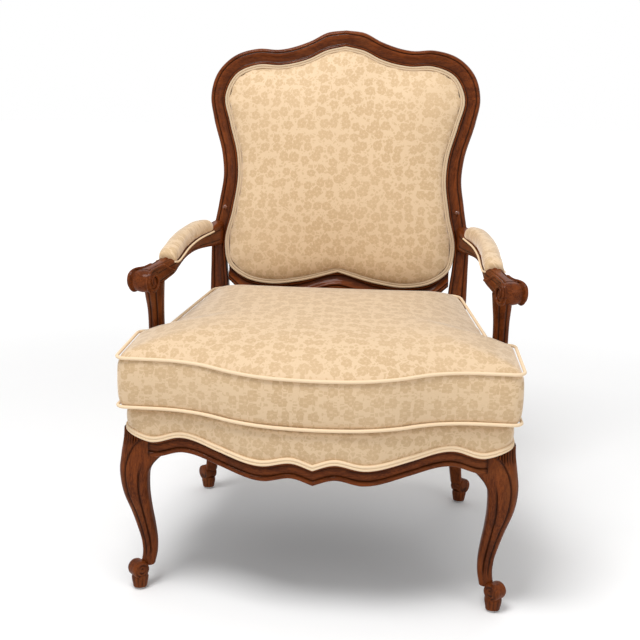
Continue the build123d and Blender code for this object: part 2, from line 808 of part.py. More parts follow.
with BuildPart() as stile_zone:
    with BuildSketch(Plane.YZ.offset(stile_inner)):
        foot = rail_top - rail_face
        head = deck_top + rail_face
        with BuildLine():
            Polyline((back_y(foot), foot), (back_y(head), head), (2 * seat_back, head), (2 * seat_back, foot),
                     close=True)
        make_face()
    extrude(amount=side_half)
    mirror(about=Plane.YZ)

with BuildPart() as seat_deck:
    with BuildSketch(Plane.XY.offset(block_low - rail_face)):
        add(seat_outline(border_pad))
    extrude(amount=deck_top - block_low + rail_face)
    fillet(faces().sort_by(Axis.Z)[-1].edges(), radius=deck_round)
    add(below_border.part, mode=Mode.SUBTRACT)
    add(stile_zone.part, mode=Mode.SUBTRACT)
    with BuildSketch():
        add(seat_outline(-tongue_inset - fit))
    extrude(amount=cover_base + sheet_thickness, mode=Mode.SUBTRACT)
    for piece in frame_pieces:
        add(piece.part, mode=Mode.SUBTRACT)
    add(solids().sort_by(SortBy.VOLUME)[-1], mode=Mode.REPLACE)
save(seat_deck, "seat_deck")

with BuildPart() as deck_welt:
    with BuildSketch(Plane.XY.offset(block_low - rail_face)):
        add(seat_outline(border_pad + deck_welt_proud))
        add(seat_outline(border_pad), mode=Mode.SUBTRACT)
    extrude(amount=deck_top - block_low + rail_face)
    add(below_border.part, mode=Mode.SUBTRACT)
    add(Pos(0, 0, welt_width) * below_border.part, mode=Mode.INTERSECT)
    split(bisect_by=Plane.XZ.offset(rail_thickness - seat_back), keep=Keep.TOP)
    for piece in (arm_support_right, arm_support_left, front_leg_right, front_leg_left):
        add(piece.part, mode=Mode.SUBTRACT)
save(deck_welt, "deck_welt")

with BuildPart() as dust_cover:
    with BuildSketch(Plane.XY.offset(block_low)):
        add(seat_outline(-rail_thickness - fit))
    extrude(amount=-sheet_thickness)
    for piece in frame_pieces:
        add(piece.part, mode=Mode.SUBTRACT)
save(dust_cover, "dust_cover")

# Loose seat cushion: cover with a zip in its rear boxing, filling, welts and the slider
zip_spot = cushion_plane(zip_level, zip_share).from_local_coords((0, cushion_back - cushion_front, 0))
with BuildPart() as cushion_cover:
    add(cushion_form(0))
    add(cushion_form(cushion_wall), mode=Mode.SUBTRACT)
    with Locations(zip_spot):
        Box(zip_length, 4 * cushion_wall, zip_height, mode=Mode.SUBTRACT)
save(cushion_cover, "cushion_cover")

with BuildPart() as cushion_core:
    add(cushion_form(cushion_wall + cushion_gap))
save(cushion_core, "cushion_core")

for name, (level, share) in zip(("cushion_bottom_welt", "cushion_top_welt"), welt_levels):
    with BuildPart() as piping:
        path = on_cushion(level, share, welt_grow, 1.0).face().outer_wire()
        with BuildSketch(path ^ 0):
            Circle(cushion_welt / 2)
        sweep(path=path)
    save(piping, name)

with BuildPart() as cushion_zipper:
    with Locations(zip_spot + Vector(0, zip_sink, 0)):
        Box(zip_length, zip_tape, zip_height)
save(cushion_zipper, "cushion_zipper")

with BuildPart() as zip_slider:
    reach = zip_sink + zip_tape / 2 + slider_gap + slider_size[1] / 2
    with Locations(zip_spot + Vector(slider_start - zip_length / 2, reach, 0)):
        Box(*slider_size)
    fillet(edges().filter_by(Axis.Y), radius=slider_size[0] / 4)
save(zip_slider, "zip_slider")
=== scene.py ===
import json
import math

import bmesh
import bpy
import numpy as np
from bpy.props import FloatProperty, FloatVectorProperty, IntProperty, PointerProperty
from mathutils import Matrix, Vector


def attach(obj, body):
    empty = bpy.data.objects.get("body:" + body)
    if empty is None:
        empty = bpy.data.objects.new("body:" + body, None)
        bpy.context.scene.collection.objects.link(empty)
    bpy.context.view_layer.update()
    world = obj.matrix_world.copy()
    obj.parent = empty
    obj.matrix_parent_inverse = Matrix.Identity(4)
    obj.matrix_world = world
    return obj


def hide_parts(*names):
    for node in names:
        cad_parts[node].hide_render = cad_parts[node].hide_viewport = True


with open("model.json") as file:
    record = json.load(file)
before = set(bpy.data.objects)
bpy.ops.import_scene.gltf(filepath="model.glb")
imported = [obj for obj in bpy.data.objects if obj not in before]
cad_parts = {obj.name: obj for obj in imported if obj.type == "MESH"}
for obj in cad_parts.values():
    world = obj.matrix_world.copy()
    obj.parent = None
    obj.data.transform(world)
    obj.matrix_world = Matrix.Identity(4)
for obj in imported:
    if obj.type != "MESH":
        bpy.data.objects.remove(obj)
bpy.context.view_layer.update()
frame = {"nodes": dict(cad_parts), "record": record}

bl_info = {
    "name": "French Provincial Armchair",
    "version": (1, 0, 0),
    "blender": (4, 5, 0),
    "location": "View3D > Sidebar > Armchair",
    "description": "Dresses the armchair's frame in carved walnut and floral damask",
    "category": "Object",
}

MM = 0.001
UP = Vector((0, 0, 1))
CHAIR = "chair_frame"
CUSHION = "seat_cushion"
# How the wood's pattern is squeezed when the grain runs up, across or from front to back
GRAIN_UP = (6.0, 6.0, 1.0)
GRAIN_ACROSS = (1.0, 6.0, 6.0)
GRAIN_ALONG = (6.0, 1.0, 6.0)

# Sizes shared with the solids: lengths in millimetres, the cushion's tilt in degrees
RAIL_TOP = 309.0
DECK_TOP = 352.0
STILE_FRONT = 191.6
RAKE = math.radians(10.8)
FRAME_DEPTH = 33.0
CREST_JOINT = 890.0
RAIL_END_Y = -258.0
CUSHION_FRONT = -356.0
CUSHION_REAR = 190.0
CUSHION_BASE = 352.4
CUSHION_TILT = 4.2
FRONT_FOOT = (318.0, -264.0)
REAR_FOOT = (287.0, 238.0)
HAND = Vector((327.0, -172.0, 553.0))
HAND_TURN = math.radians(18)

# Plan corners from the front middle round the right side: across, depth, radius
SEAT_HALF = [(105, -342, 240), (212, -294, 240), (326, -292, 26), (328, -120, 900), (279, 222, 10)]
CUSHION_HALF = [
    (110, CUSHION_FRONT, 260), (220, -312, 260), (343, -314, 18), (342, -152, 14), (298, -142, 8),
    (262, CUSHION_REAR, 28),
]
PLAN_STEP = 6.0
# Lower edge of the seat's border: across, height above the rails
APRON = [(0, -35), (34, -24), (85, -32), (160, -18), (232, -4.5), (285, -16), (331, 0), (360, 3)]
# How far the seat's soft front hangs, over what width, and between which depths it starts and is full
DROOP = 11.0
DROOP_WIDTH = 165.0
DROOP_DEPTHS = (-285, -340)

# Lines of the back's frame from the middle of the crest down the right side: across, height
BACK_OUTER = [
    (0, 1034), (40, 1029), (78, 1010), (145, 991.5), (192, 993), (246, 976), (281, 940), (294, 890),
    (286, 842), (264, 762), (260, 722), (268, 660), (281, 575), (281, 520), (277, RAIL_TOP),
]
BACK_INNER_SIDE = [
    (0, 997), (40, 988), (80, 969), (140, 955.5), (190, 956), (237, 936), (260, 888), (248, 832),
    (229, 760), (226, 722), (236, 642), (250, 570),
]
BACK_INNER_LOW = [(240, 526), (205, 499), (150, 487), (84, 494), (0, 516)]
BACK_INNER = BACK_INNER_SIDE + BACK_INNER_LOW
STILE_INNER_FOOT = [(247, 530), (241, 480), (238, 420), (237, RAIL_TOP)]
LOWER_RAIL_HEIGHT = 40.0
LOWER_RAIL_TAPER = 6.0
LOWER_RAIL_SET_BACK = 3.0
# Plugs in the stiles: across, height
PLUG = (252.5, 648.5)
PLUG_RADIUS = 5.4
PLUG_PROUD = 3.6

# Front rail: half its length, and where the painted shade of the gap at its joint with the leg starts
FRONT_RAIL_END = 296.0
FRONT_RAIL_GAP_SHADE = 291.5
# Side rails: where they start and end
SIDE_RAIL_DEPTHS = (-256, 196)

# Front leg: height, reach along the outward diagonal, side
FRONT_LEG = [
    (322, -4, 45), (290, -3, 46), (262, 0, 48), (228, 3.5, 47), (190, 2, 43), (155, -4, 37),
    (118, -11, 32), (86, -15.5, 28), (62, -15.5, 26), (44, -12.5, 25),
]
# Rear leg: height, across, depth, side
REAR_LEG = [
    (290, 257, 206, 40), (250, 258, 207, 41), (200, 262, 212, 37), (150, 267, 218, 33),
    (105, 272, 224, 29), (72, 276, 229, 26), (48, 279, 232, 25),
]
# Arm: across, depth, height, width, thickness
ARM = [
    (266.5, 252, 593, 26, 54), (279, 192, 591, 33, 42), (296, 112, 588, 33, 32), (303, 22, 582, 33, 28),
    (304, -58, 571, 34, 28), (305.5, -86, 566.5, 35, 32), (309, -108, 563, 30, 34),
    (313.5, -130, 559.5, 27, 36), (319, -150, 556.5, 30, 37), (325, -167, 555, 40, 36),
]
# Arm support: height, across, depth, width, thickness
ARM_SUPPORT = [
    (290, 316, -120, 46, 56), (340, 317, -112, 40, 44), (400, 319, -104, 31, 36), (450, 321, -103, 28, 32),
    (490, 320, -112, 29, 32), (520, 318, -128, 33, 36), (546, 316, -141, 36, 40),
]
# Arm pad: depth, width, thickness, rise above the middle of the arm
ARM_PAD = [
    (196, 24, 14, 16), (186, 33, 26, 22), (150, 38, 32, 24), (90, 39, 32, 22), (20, 39, 32, 20),
    (-36, 39, 31, 18.5), (-74, 38, 28, 17.5), (-88, 36, 19, 17),
]
ARM_STEP = 4.0
ARM_PAD_STEP = 5.0
ARM_PAD_CORD = 1.9
ARM_PAD_PRESSURE = 2.0
ARM_PAD_CAP = 2.5
ARM_PAD_VOXEL = 4

# Moulding of the back frame: share of its width from the pad outwards, height above its face, shade
BACK_MOULDING = [
    (0.0, -3, 0.7), (0.03, 1.6, 0.3), (0.08, 2.8, 0.0), (0.13, 2.0, 0.2), (0.16, -1.0, 0.9),
    (0.19, -1.8, 0.9), (0.25, -2.0, 0.5), (0.34, -1.4, 0.3), (0.44, 0.2, 0.15), (0.53, 2.6, 0.0),
    (0.59, 4.2, 0.0), (0.64, 4.6, 0.0), (0.68, 3.8, 0.2), (0.705, 1.4, 0.9), (0.73, 1.2, 0.8),
    (0.77, 2.9, 0.1), (0.83, 3.1, 0.0), (0.90, 1.8, 0.0), (0.95, -1.2, 0.0), (0.985, -5.0, 0.0),
    (1.0, -10.0, 0.0), (1.0, -24.0, 0.1), (0.98, -29.0, 0.1), (0.93, -32.0, 0.1), (0.85, -33.0, 0.1),
    (0.5, -33.0, 0.1), (0.12, -33.0, 0.1), (0.02, -31.0, 0.3), (0.0, -20.0, 0.5),
]
# Moulding of the seat rails: distance out from their face, height from their top, shade
RAIL_MOULDING = [
    (-34, 0, 0.3), (-16, 0, 0.3), (-3, 0, 0.5), (-0.4, -0.8, 0.4), (0.6, -2.6, 0.0), (0.6, -4.6, 0.0),
    (-0.2, -6.0, 0.3), (-1.6, -6.9, 0.9), (-1.0, -8.4, 0.5), (-0.2, -11.0, 0.1), (0.0, -14.0, 0.0),
    (-0.2, -17.0, 0.1), (-1.0, -19.6, 0.4), (-1.8, -21.2, 0.9), (-0.2, -22.2, 0.4), (1.4, -23.8, 0.0),
    (1.9, -26.0, 0.0), (1.4, -28.4, 0.0), (-0.4, -30.0, 0.0), (-4, -30.6, 0.1), (-20, -30.6, 0.3),
    (-34, -30, 0.3),
]

# Carving of the front legs, and the leaf line over their knees: share of half the side, height
KNEE_LINE = [
    (0.75, 304), (0.35, 293), (-0.05, 281), (-0.34, 265), (-0.48, 246), (-0.5, 228), (-0.42, 150),
]
KNEE_EAR = 27.0
KNEE_FULLNESS = 5.0
KNEE_SHIFT = (0.5, -3.5)
LEG_GROOVE_WIDTH = 1.8
LEG_GROOVE_DEPTH = 2.6
LEG_FACE_DEPTH = 5.0
# Painted shadow on a leg's inner faces, in the gap where the rail meets it: height where it starts, and its
# width
LEG_GAP_SHADOW_FOOT = 236
LEG_GAP_SHADOW_WIDTH = 1.5
HATCH_RATE = 34
# Heights between which the knee fills out, its ear opens, the grooves start, the second groove moves out
# and ends, and the hatching starts
KNEE_RISE = (150, 240)
EAR_RISE = (222, 266)
GROOVE_RISE = (52, 72)
SECOND_RISE = (120, 240)
SECOND_END = (252, 227)
HATCH_RISE = (276, 288)

# Grooves of the arms: where they lie as a share of the thickness, their width and depth, and their end
ARM_GROOVES = (-0.24, 0.2)
ARM_GROOVE_WIDTH = 1.2
ARM_GROOVE_DEPTH = 1.3
ARM_GROOVE_END = 225
SUPPORT_FLUTE_WIDTH = 1.5
SUPPORT_FLUTE_DEPTH = 1.6
# Top of the hand: depths between which its carving starts, then the bead, the gap and the crown on it:
# place or reach as a share of the width, width, height
HAND_START = (-82, -104)
TOP_BEAD = (0.37, 2.2, 1.8)
TOP_GAP = (0.28, 1.0, 2.2)
TOP_CROWN = (0.3, 1.2)
# Bead of the hand: between which depths it runs and climbs, its radius, and the steps of its spiral
BEAD_DEPTHS = (-152, -84)
BEAD_CLIMB = (-86, -132)
BEAD_RADIUS = 2.9
BEAD_STEPS = 60
# Leaf at the front of an arm pad: depth, offsets of its lobes across the arm, half a lobe's length
LEAF_DEPTH = -86
LEAF_LOBES = (-8.5, 0, 8.5)
LEAF_REACH = 10.0

# Turned rolls, from their middle to one end: radius, offset along the axis
FRONT_SCROLL = [
    (15.2, 0), (15.8, 6), (15.6, 10), (14.4, 13), (12, 14.2), (9, 14.5), (6, 14.5), (3, 14.5), (0.01, 14.5),
]
REAR_SCROLL = [(16.4, 0), (17, 10), (16, 13.5), (13, 15), (6, 15), (0.01, 15)]
HAND_ROLL = [
    (20.8, 0), (20, 8), (18.4, 13), (17.8, 15.4), (19.4, 16.6), (21.4, 17.4), (22, 19), (21.4, 20.6),
    (19, 21.5), (15, 22), (10, 22), (5, 22), (0.01, 22),
]
SCROLL_HEIGHT = 38.0
SCROLL_REACH = 3.0
TURNED_STEPS = 72
# Spiral cut into the ends of a roll: width of the cut as a share of its pitch
SPIRAL_WIDTH = 0.17
# Pad under a scroll foot: height, radius
FOOT_PAD = [(4, 12.6), (8, 13.2), (12, 14.0), (17, 15.0), (22, 15.4), (27, 14.0)]
FOOT_FLUTES = 12
FOOT_FLUTE_DEPTH = 0.9

# Double welt: middles of its cords, their radius, and its two edges
WELT_CORDS = (2.3, 7.1)
WELT_RADIUS = 2.55
WELT_EDGES = (-0.3, 9.9)
# Start and sweep of the arc of each cord, in half turns, and its steps
WELT_START = 1.08
WELT_SWEEP = 1.16
WELT_STEPS = 8
WELT_STEP = 5.0
BACK_WELT_PROUD = 3.4
REAR_WELT_PROUD = 0.4

# Back pad: height above the back's face, scale of its outline
BACK_PAD = [
    (-4, 1.0), (2, 1.0), (6, 0.996), (12, 0.975), (19, 0.93), (25, 0.84), (29, 0.66), (31, 0.4),
    (31.5, 0.15),
]
BACK_PAD_INSET = 6.5
BACK_PAD_HOLD = (-4, 0, 3)
BACK_PAD_VOXEL = 7
# Outside back: height above the frame's rear face, scale of its outline
OUTSIDE_BACK = [(-4, 1.0), (1, 0.998), (3, 0.97), (4.5, 0.8), (5, 0.4), (5, 0.1)]

# Seat deck: growth of its outline, share of its height above the border's edge, rise, scale
DECK = [
    (-10, 0.05, 0, 1), (3, 0.02, 0, 1), (6.6, 0.14, 0, 1), (8.6, 0.34, 0, 1), (9.4, 0.55, 0, 1),
    (8.6, 0.76, 0, 1), (6.2, 0.9, 0, 1), (2.0, 0.98, 0, 1), (-6, 1.0, 0.2, 1), (-6, 1.0, 0.3, 0.85),
    (-6, 1.0, 0.3, 0.6), (-6, 1.0, 0.3, 0.3), (-6, 1.0, 0.3, 0.05),
]
DECK_MIDDLE = Vector((0, -50))
DECK_GAP = 0.5
DECK_WELT_OUT = 8.6
DECK_WELT_END = 190

# Seat cushion: height of its front edge, share of its tilt, growth of its outline, scale
CUSHION_LEVELS = [
    (0.5, 0.0, -30, 0.6), (0.2, 0.0, -16, 1.0), (1.0, 0.0, -7, 1.0), (5, 0.05, -1.5, 1.0),
    (20, 0.22, 1.0, 1.0), (46, 0.5, 2.0, 1.0), (72, 0.8, 1.0, 1.0), (88, 1.0, -1.5, 1.0),
    (95, 1.0, -9, 0.985), (103, 1.0, -10, 0.92), (112, 1.0, -8, 0.8), (119, 1.0, -6, 0.62),
    (123, 1.0, -4, 0.38), (124, 1.0, -2, 0.12),
]
CUSHION_MIDDLE = Vector((0, (CUSHION_FRONT + CUSHION_REAR) / 2))
# Seams under the welts: name, height of the front edge, share of the tilt
CUSHION_SEAMS = [("bottom", 5, 0.05), ("top", 88, 1.0)]
CUSHION_SEAM_GROW = -1.5
CUSHION_CORD = 2.9
CUSHION_CORD_OUT = 2.2
SEAM_REACH = 9.0
# Flat ground of the zip in the rear boxing: half its length, its depth, how far before it the cloth is
# held, and which of the cushion's levels it crosses
ZIP_HALF = 192.0
ZIP_BACKING = 188.6
ZIP_HOLD = 12.0
ZIP_LEVELS = slice(4, 7)

# Cloth of the padded pieces while they swell
FABRIC = {
    "quality": 5, "mass": 0.3, "tension_stiffness": 15, "compression_stiffness": 15, "shear_stiffness": 8,
    "bending_stiffness": 1.2, "use_pressure": True, "vertex_group_mass": "seam",
}
SWELL_FRAMES = 20

# Studio: lengths in metres, the camera's lens in millimetres
FLOOR_RADIUS = 60.0
# Distances in metres over which the floor's painted glow comes on
FLOOR_PAINTED_GLOW = (0.9, 4.0)
LAMP_AIM = Vector((0, 0, 0.5))
CAMERA_PLACE = Vector((0.124, -1.907, 0.859))
CAMERA_YAW = math.radians(5.92)
CAMERA_PITCH = math.radians(11.70)
CAMERA_ROLL = math.radians(0.95)
CAMERA_LENS = 55.8
CAMERA_SHIFT = (0.0434, -0.0058)


# Lines and outlines

def ramp(value, start, end):
    """Share of the way from a start to an end, held at 0 before it and at 1 after it."""
    return min(max((value - start) / (end - start), 0), 1)


def notch(distance, width):
    """Smooth notch: 1 in its middle, fading over a width."""
    return math.exp(-(distance / width) ** 2)


def line_through(points, spacing):
    """Smooth line through points, sampled at an even spacing."""
    spots = [Vector(p) for p in points]
    gaps = [(b - a).length for a, b in zip(spots, spots[1:])]
    slopes = []
    for index in range(len(spots)):
        before = max(index - 1, 0)
        after = min(index, len(gaps) - 1)
        early = (spots[before + 1] - spots[before]) / gaps[before]
        late = (spots[after + 1] - spots[after]) / gaps[after]
        slopes.append((early * gaps[after] + late * gaps[before]) / (gaps[after] + gaps[before]))
    dense = []
    for index, gap in enumerate(gaps):
        a, b = spots[index], spots[index + 1]
        for step in range(24):
            t = step / 24
            dense.append(
                a * (2 * t ** 3 - 3 * t ** 2 + 1) + slopes[index] * gap * (t ** 3 - 2 * t ** 2 + t)
                + b * (3 * t ** 2 - 2 * t ** 3) + slopes[index + 1] * gap * (t ** 3 - t ** 2)
            )
    dense.append(spots[-1])
    return evenly(dense, spacing)


def evenly(points, spacing):
    """The same line with its points at an even spacing."""
    marks = [0.0]
    for a, b in zip(points, points[1:]):
        marks.append(marks[-1] + (b - a).length)
    count = max(2, round(marks[-1] / spacing))
    out = []
    index = 0
    for step in range(count + 1):
        goal = marks[-1] * step / count
        while index < len(points) - 2 and marks[index + 1] < goal:
            index += 1
        span = marks[index + 1] - marks[index] or 1.0
        out.append(points[index].lerp(points[index + 1], min(max((goal - marks[index]) / span, 0), 1)))
    return out


def rounded_half(half, spacing):
    """Right half of a plan outline with rounded corners, from its front middle to its rear middle."""
    spots = [Vector((0, half[0][1]))] + [Vector((x, y)) for x, y, r in half] + [Vector((0, half[-1][1]))]
    line = [spots[0]]
    for index, (x, y, radius) in enumerate(half):
        corner = spots[index + 1]
        back = (spots[index] - corner).normalized()
        on = (spots[index + 2] - corner).normalized()
        angle = back.angle(on)
        reach = radius / math.tan(angle / 2)
        centre = corner + (back + on).normalized() * (radius / math.sin(angle / 2))
        start = corner + back * reach - centre
        sweep = math.pi - angle
        turn = 1 if back.cross(on) < 0 else -1
        for step in range(13):
            spin = Matrix.Rotation(turn * sweep * step / 12, 2)
            line.append(centre + spin @ start)
    line.append(spots[-1])
    return evenly(line, spacing)


class Plan:
    """Closed plan outline with outward directions and distances from its front middle."""

    def __init__(self, half, spacing):
        right = rounded_half(half, spacing)
        left = [Vector((-p.x, p.y)) for p in reversed(right[1:-1])]
        self.points = right + left
        count = len(self.points)
        self.outward = []
        for index in range(count):
            run = self.points[(index + 1) % count] - self.points[index - 1]
            self.outward.append(Vector((run.y, -run.x)).normalized())
        step = sum((b - a).length for a, b in zip(right, right[1:])) / (len(right) - 1)
        self.length = 2 * step * (len(right) - 1)
        self.along = [i * step if i < len(right) else (i - count) * step for i in range(count)]

    def ring(self, grow, place):
        """Outline grown by a distance, with each point put in space by place(point)."""
        return [place(p + n * grow) for p, n in zip(self.points, self.outward)]


def on_back(x, z, out=0.0):
    """Place on the back's sloping face, or a distance out from it."""
    depth = STILE_FRONT + (z - RAIL_TOP) * math.tan(RAKE)
    return Vector((x, depth - out * math.cos(RAKE), z + out * math.sin(RAKE)))


def apron(x):
    """Height of the seat border's lower edge at a place across the front."""
    return np.interp(abs(x), APRON_LINE[0], APRON_LINE[1])


apron_dense = line_through(APRON, 2.0)
APRON_LINE = ([p.x for p in apron_dense], [RAIL_TOP + p.y for p in apron_dense])
SEAT = Plan(SEAT_HALF, PLAN_STEP)
SEAT_CUSHION = Plan(CUSHION_HALF, PLAN_STEP)


def droop(point):
    """How far the soft front edge of the seat hangs down in the middle."""
    return DROOP * notch(point.x, DROOP_WIDTH) * ramp(point.y, *DROOP_DEPTHS)


def border_edge(point):
    """Height of the border's lower edge round the seat."""
    return apron(point.x) if point.y < RAIL_END_Y else RAIL_TOP


def back_loop(inset, spacing):
    """Closed outline of the back pad on its face, moved in by a distance."""
    right = line_through(BACK_INNER, spacing)
    loop = right + [Vector((-p.x, p.y)) for p in reversed(right[1:-1])]
    count = len(loop)
    moved = []
    for index, p in enumerate(loop):
        run = (loop[(index + 1) % count] - loop[index - 1]).normalized()
        moved.append(p + Vector((run.y, -run.x)) * inset)
    return moved


# Meshes

def follower(vert, fresh):
    """Vertex among fresh ones that an extrusion has pulled out of this one."""
    return next(e.other_vert(vert) for e in vert.link_edges if e.other_vert(vert) in fresh)


def skin(bm, rings, shades=None, closed=False):
    """Pull a ring of points through a run of sections and close its ends; shades, when given, are the
    painted shade of each point.
    """
    layer = bm.verts.layers.float.get("recess_shade") or bm.verts.layers.float.new("recess_shade")
    first = [bm.verts.new(p * MM) for p in rings[0]]
    loop = [bm.edges.new(pair) for pair in zip(first, first[1:] + first[:1])]
    current = first
    for number, ring in enumerate(rings):
        if number:
            made = bmesh.ops.extrude_edge_only(bm, edges=loop)["geom"]
            fresh = {v for v in made if isinstance(v, bmesh.types.BMVert)}
            current = [follower(v, fresh) for v in current]
            loop = [e for e in made if isinstance(e, bmesh.types.BMEdge) and fresh.issuperset(e.verts)]
            for vert, point in zip(current, ring):
                vert.co = point * MM
        if shades:
            for vert, shade in zip(current, shades[number]):
                vert[layer] = shade
    if not closed:
        bm.faces.new(first)
        bm.faces.new(current)


def carved(bm, rows):
    """Pull a skin over rows of points, each with how deep the carving is there, which is kept as painted
    shade.
    """
    skin(bm, [[p for p, cut in row] for row in rows], [[cut for p, cut in row] for row in rows])


def section(wide, high, radius, count):
    """Rounded rectangle as evenly spaced points."""
    radius = min(radius, wide / 2 - 0.01, high / 2 - 0.01)
    line = []
    for corner in range(4):
        cx = (wide / 2 - radius) * (1 if corner in (0, 3) else -1)
        cy = (high / 2 - radius) * (1 if corner in (0, 1) else -1)
        for step in range(9):
            angle = math.pi / 2 * (corner + step / 8)
            line.append(Vector((cx + radius * math.cos(angle), cy + radius * math.sin(angle))))
    middle = Vector((wide / 2, 0))
    line = [middle] + line + [middle]
    length = sum((b - a).length for a, b in zip(line, line[1:]))
    return evenly(line, length / count)[:-1]


def piece(name, bm, finish, body=CHAIR, nodes=(), slot="walnut", sharp=35):
    """Make an object of a finished mesh, put its finish on and let it ride on its body."""
    bmesh.ops.remove_doubles(bm, verts=bm.verts, dist=1e-6)
    bmesh.ops.recalc_face_normals(bm, faces=bm.faces)
    mesh = bpy.data.meshes.new(name)
    bm.to_mesh(mesh)
    bm.free()
    mesh.shade_smooth()
    mesh.set_sharp_from_angle(angle=math.radians(sharp))
    thing = bpy.data.objects.new(name, mesh)
    bpy.context.scene.collection.objects.link(thing)
    mesh.materials.append(finish)
    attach(thing, body)
    if nodes:
        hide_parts(*nodes)
    return thing


def pair(name, build, finish, nodes, **settings):
    """Make a right-hand piece and its mirror image."""
    made = []
    for side in ("right", "left"):
        bm = bmesh.new()
        build(bm)
        if side == "left":
            bmesh.ops.scale(bm, vec=(-1, 1, 1), verts=bm.verts)
            bmesh.ops.reverse_faces(bm, faces=bm.faces)
        own = [f"{node}_{side}" for node in nodes]
        made.append(piece(f"{name}_{side}", bm, finish, nodes=own, **settings))
    return made


def cord(bm, path, radius, up, sides=10, closed=True, taper=1.0):
    """Round cord along a line of points, which starts square to a direction and may taper to its end."""
    count = len(path)
    rings = []
    for index, spot in enumerate(path):
        before = path[index - 1] if index or closed else spot
        after = path[(index + 1) % count] if index + 1 < count or closed else spot
        run = (after - before).normalized()
        up = (up - run * up.dot(run)).normalized()
        side = run.cross(up)
        size = radius * (1 + (taper - 1) * index / count)
        turns = [2 * math.pi * k / sides for k in range(sides)]
        rings.append([spot + (side * math.cos(a) + up * math.sin(a)) * size for a in turns])
    if closed:
        rings.append(rings[0])
    skin(bm, rings, closed=closed)


def double_welt(depth):
    """Profile of a double welt with its base at a depth: distance across it, and height."""
    profile = [(WELT_EDGES[0], -depth)]
    for middle in WELT_CORDS:
        for step in range(WELT_STEPS + 1):
            angle = math.pi * (WELT_START - step * WELT_SWEEP / WELT_STEPS)
            profile.append((middle + WELT_RADIUS * math.cos(angle), WELT_RADIUS * math.sin(angle)))
    return profile + [(WELT_EDGES[1], -depth)]


def whorl_roll(bm, centre, axis, half, depth, pitch):
    """Turned roll with a spiral cut into each end, from half its profile of radius and offset."""
    profile = [(r, -s) for r, s in reversed(half[1:])] + half
    layer = bm.verts.layers.float.get("recess_shade") or bm.verts.layers.float.new("recess_shade")
    axis = axis.normalized()
    level = axis.cross(UP).normalized()
    up = level.cross(axis)
    verts = [bm.verts.new((centre + up * r + axis * s) * MM) for r, s in profile]
    edges = [bm.edges.new(two) for two in zip(verts, verts[1:])]
    bmesh.ops.spin(
        bm, geom=verts + edges, cent=centre * MM, axis=axis, dvec=(0, 0, 0), angle=2 * math.pi,
        steps=TURNED_STEPS, use_merge=True, use_normal_flip=False, use_duplicate=False,
    )
    reach = max(s for r, s in profile)
    rim = max(r for r, s in profile)
    for vert in bm.verts:
        rel = vert.co / MM - centre
        along = rel.dot(axis)
        flat = rel - axis * along
        if flat.length > rim + 0.5 or abs(along) > reach + 0.5 or abs(along) < reach - 2.5:
            continue
        angle = math.atan2(flat.dot(level), flat.dot(up)) * (1 if along > 0 else -1)
        turn = (flat.length / pitch + angle / (2 * math.pi)) % 1.0
        cut = notch(turn - 0.5, SPIRAL_WIDTH) * ramp(flat.length, 0, 3) * (flat.length < rim - 2)
        vert.co -= axis * math.copysign(depth * cut, along) * MM
        # The spiral cut also gets painted shade.
        vert[layer] = max(vert[layer], cut)


# Finishes

class Value:
    """A shader socket that takes part in sums, and makes the nodes that follow it."""

    def __init__(self, tree, socket=None):
        self.tree = tree
        self.socket = socket

    def make(self, kind, settings=None, inputs=None, output=0):
        """Add a node of a type with its settings, and the values or links of its sockets."""
        node = self.tree.nodes.new(kind)
        for key, setting in (settings or {}).items():
            setattr(node, key, setting)
        for key, given in (inputs or {}).items():
            if isinstance(given, Value):
                self.tree.links.new(given.socket, node.inputs[key])
            else:
                node.inputs[key].default_value = given
        return Value(self.tree, node.outputs[output])

    def _sum(self, operation, a, b):
        """Result of a sum of two values."""
        return self.make("ShaderNodeMath", {"operation": operation}, {0: a, 1: b})

    def __add__(self, other):
        return self._sum("ADD", self, other)

    def __radd__(self, other):
        return self._sum("ADD", other, self)

    def __sub__(self, other):
        return self._sum("SUBTRACT", self, other)

    def __rsub__(self, other):
        return self._sum("SUBTRACT", other, self)

    def __mul__(self, other):
        return self._sum("MULTIPLY", self, other)

    def __rmul__(self, other):
        return self._sum("MULTIPLY", other, self)


def new_finish(name):
    """Empty material with a Principled shader, and a starting value in its tree."""
    finish = bpy.data.materials.new(name)
    finish.use_nodes = True
    shader = finish.node_tree.nodes["Principled BSDF"]
    return finish, shader, Value(finish.node_tree)


def feed(value, shader, socket):
    """Link a value to one of the shader's sockets."""
    value.tree.links.new(value.socket, shader.inputs[socket])


def settle(shader, values):
    """Give some of the shader's sockets plain values."""
    for socket, given in values.items():
        shader.inputs[socket].default_value = given


def roughen(height, shader, strength, depth):
    """Bump the surface of a shader by a height."""
    bump = height.make("ShaderNodeBump", {}, {"Strength": strength, "Distance": depth, "Height": height})
    feed(bump, shader, "Normal")


def colour4(colour):
    """Colour with full opacity."""
    return (*colour, 1.0)


def darker(colour, share):
    """The same colour with a share of its light."""
    return tuple(c * share for c in colour)


def grey(value):
    """Grey of a lightness."""
    return value.make("ShaderNodeCombineColor", {}, {"Red": value, "Green": value, "Blue": value})


def object_place(start):
    """Place on the object."""
    return start.make("ShaderNodeTexCoord", output="Object")


def noise(place, scale, detail, rough=0.5, space="3D", output="Fac"):
    """Noise over a place, in space or on a flat map."""
    return place.make(
        "ShaderNodeTexNoise", {"noise_dimensions": space},
        {"Vector": place, "Scale": scale, "Detail": detail, "Roughness": rough}, output,
    )


def bands(place, direction, scale, distortion):
    """Even bands over a place, across one direction."""
    return place.make(
        "ShaderNodeTexWave", {"wave_type": "BANDS", "bands_direction": direction},
        {"Vector": place, "Scale": scale, "Distortion": distortion, "Detail": 1.0},
    )


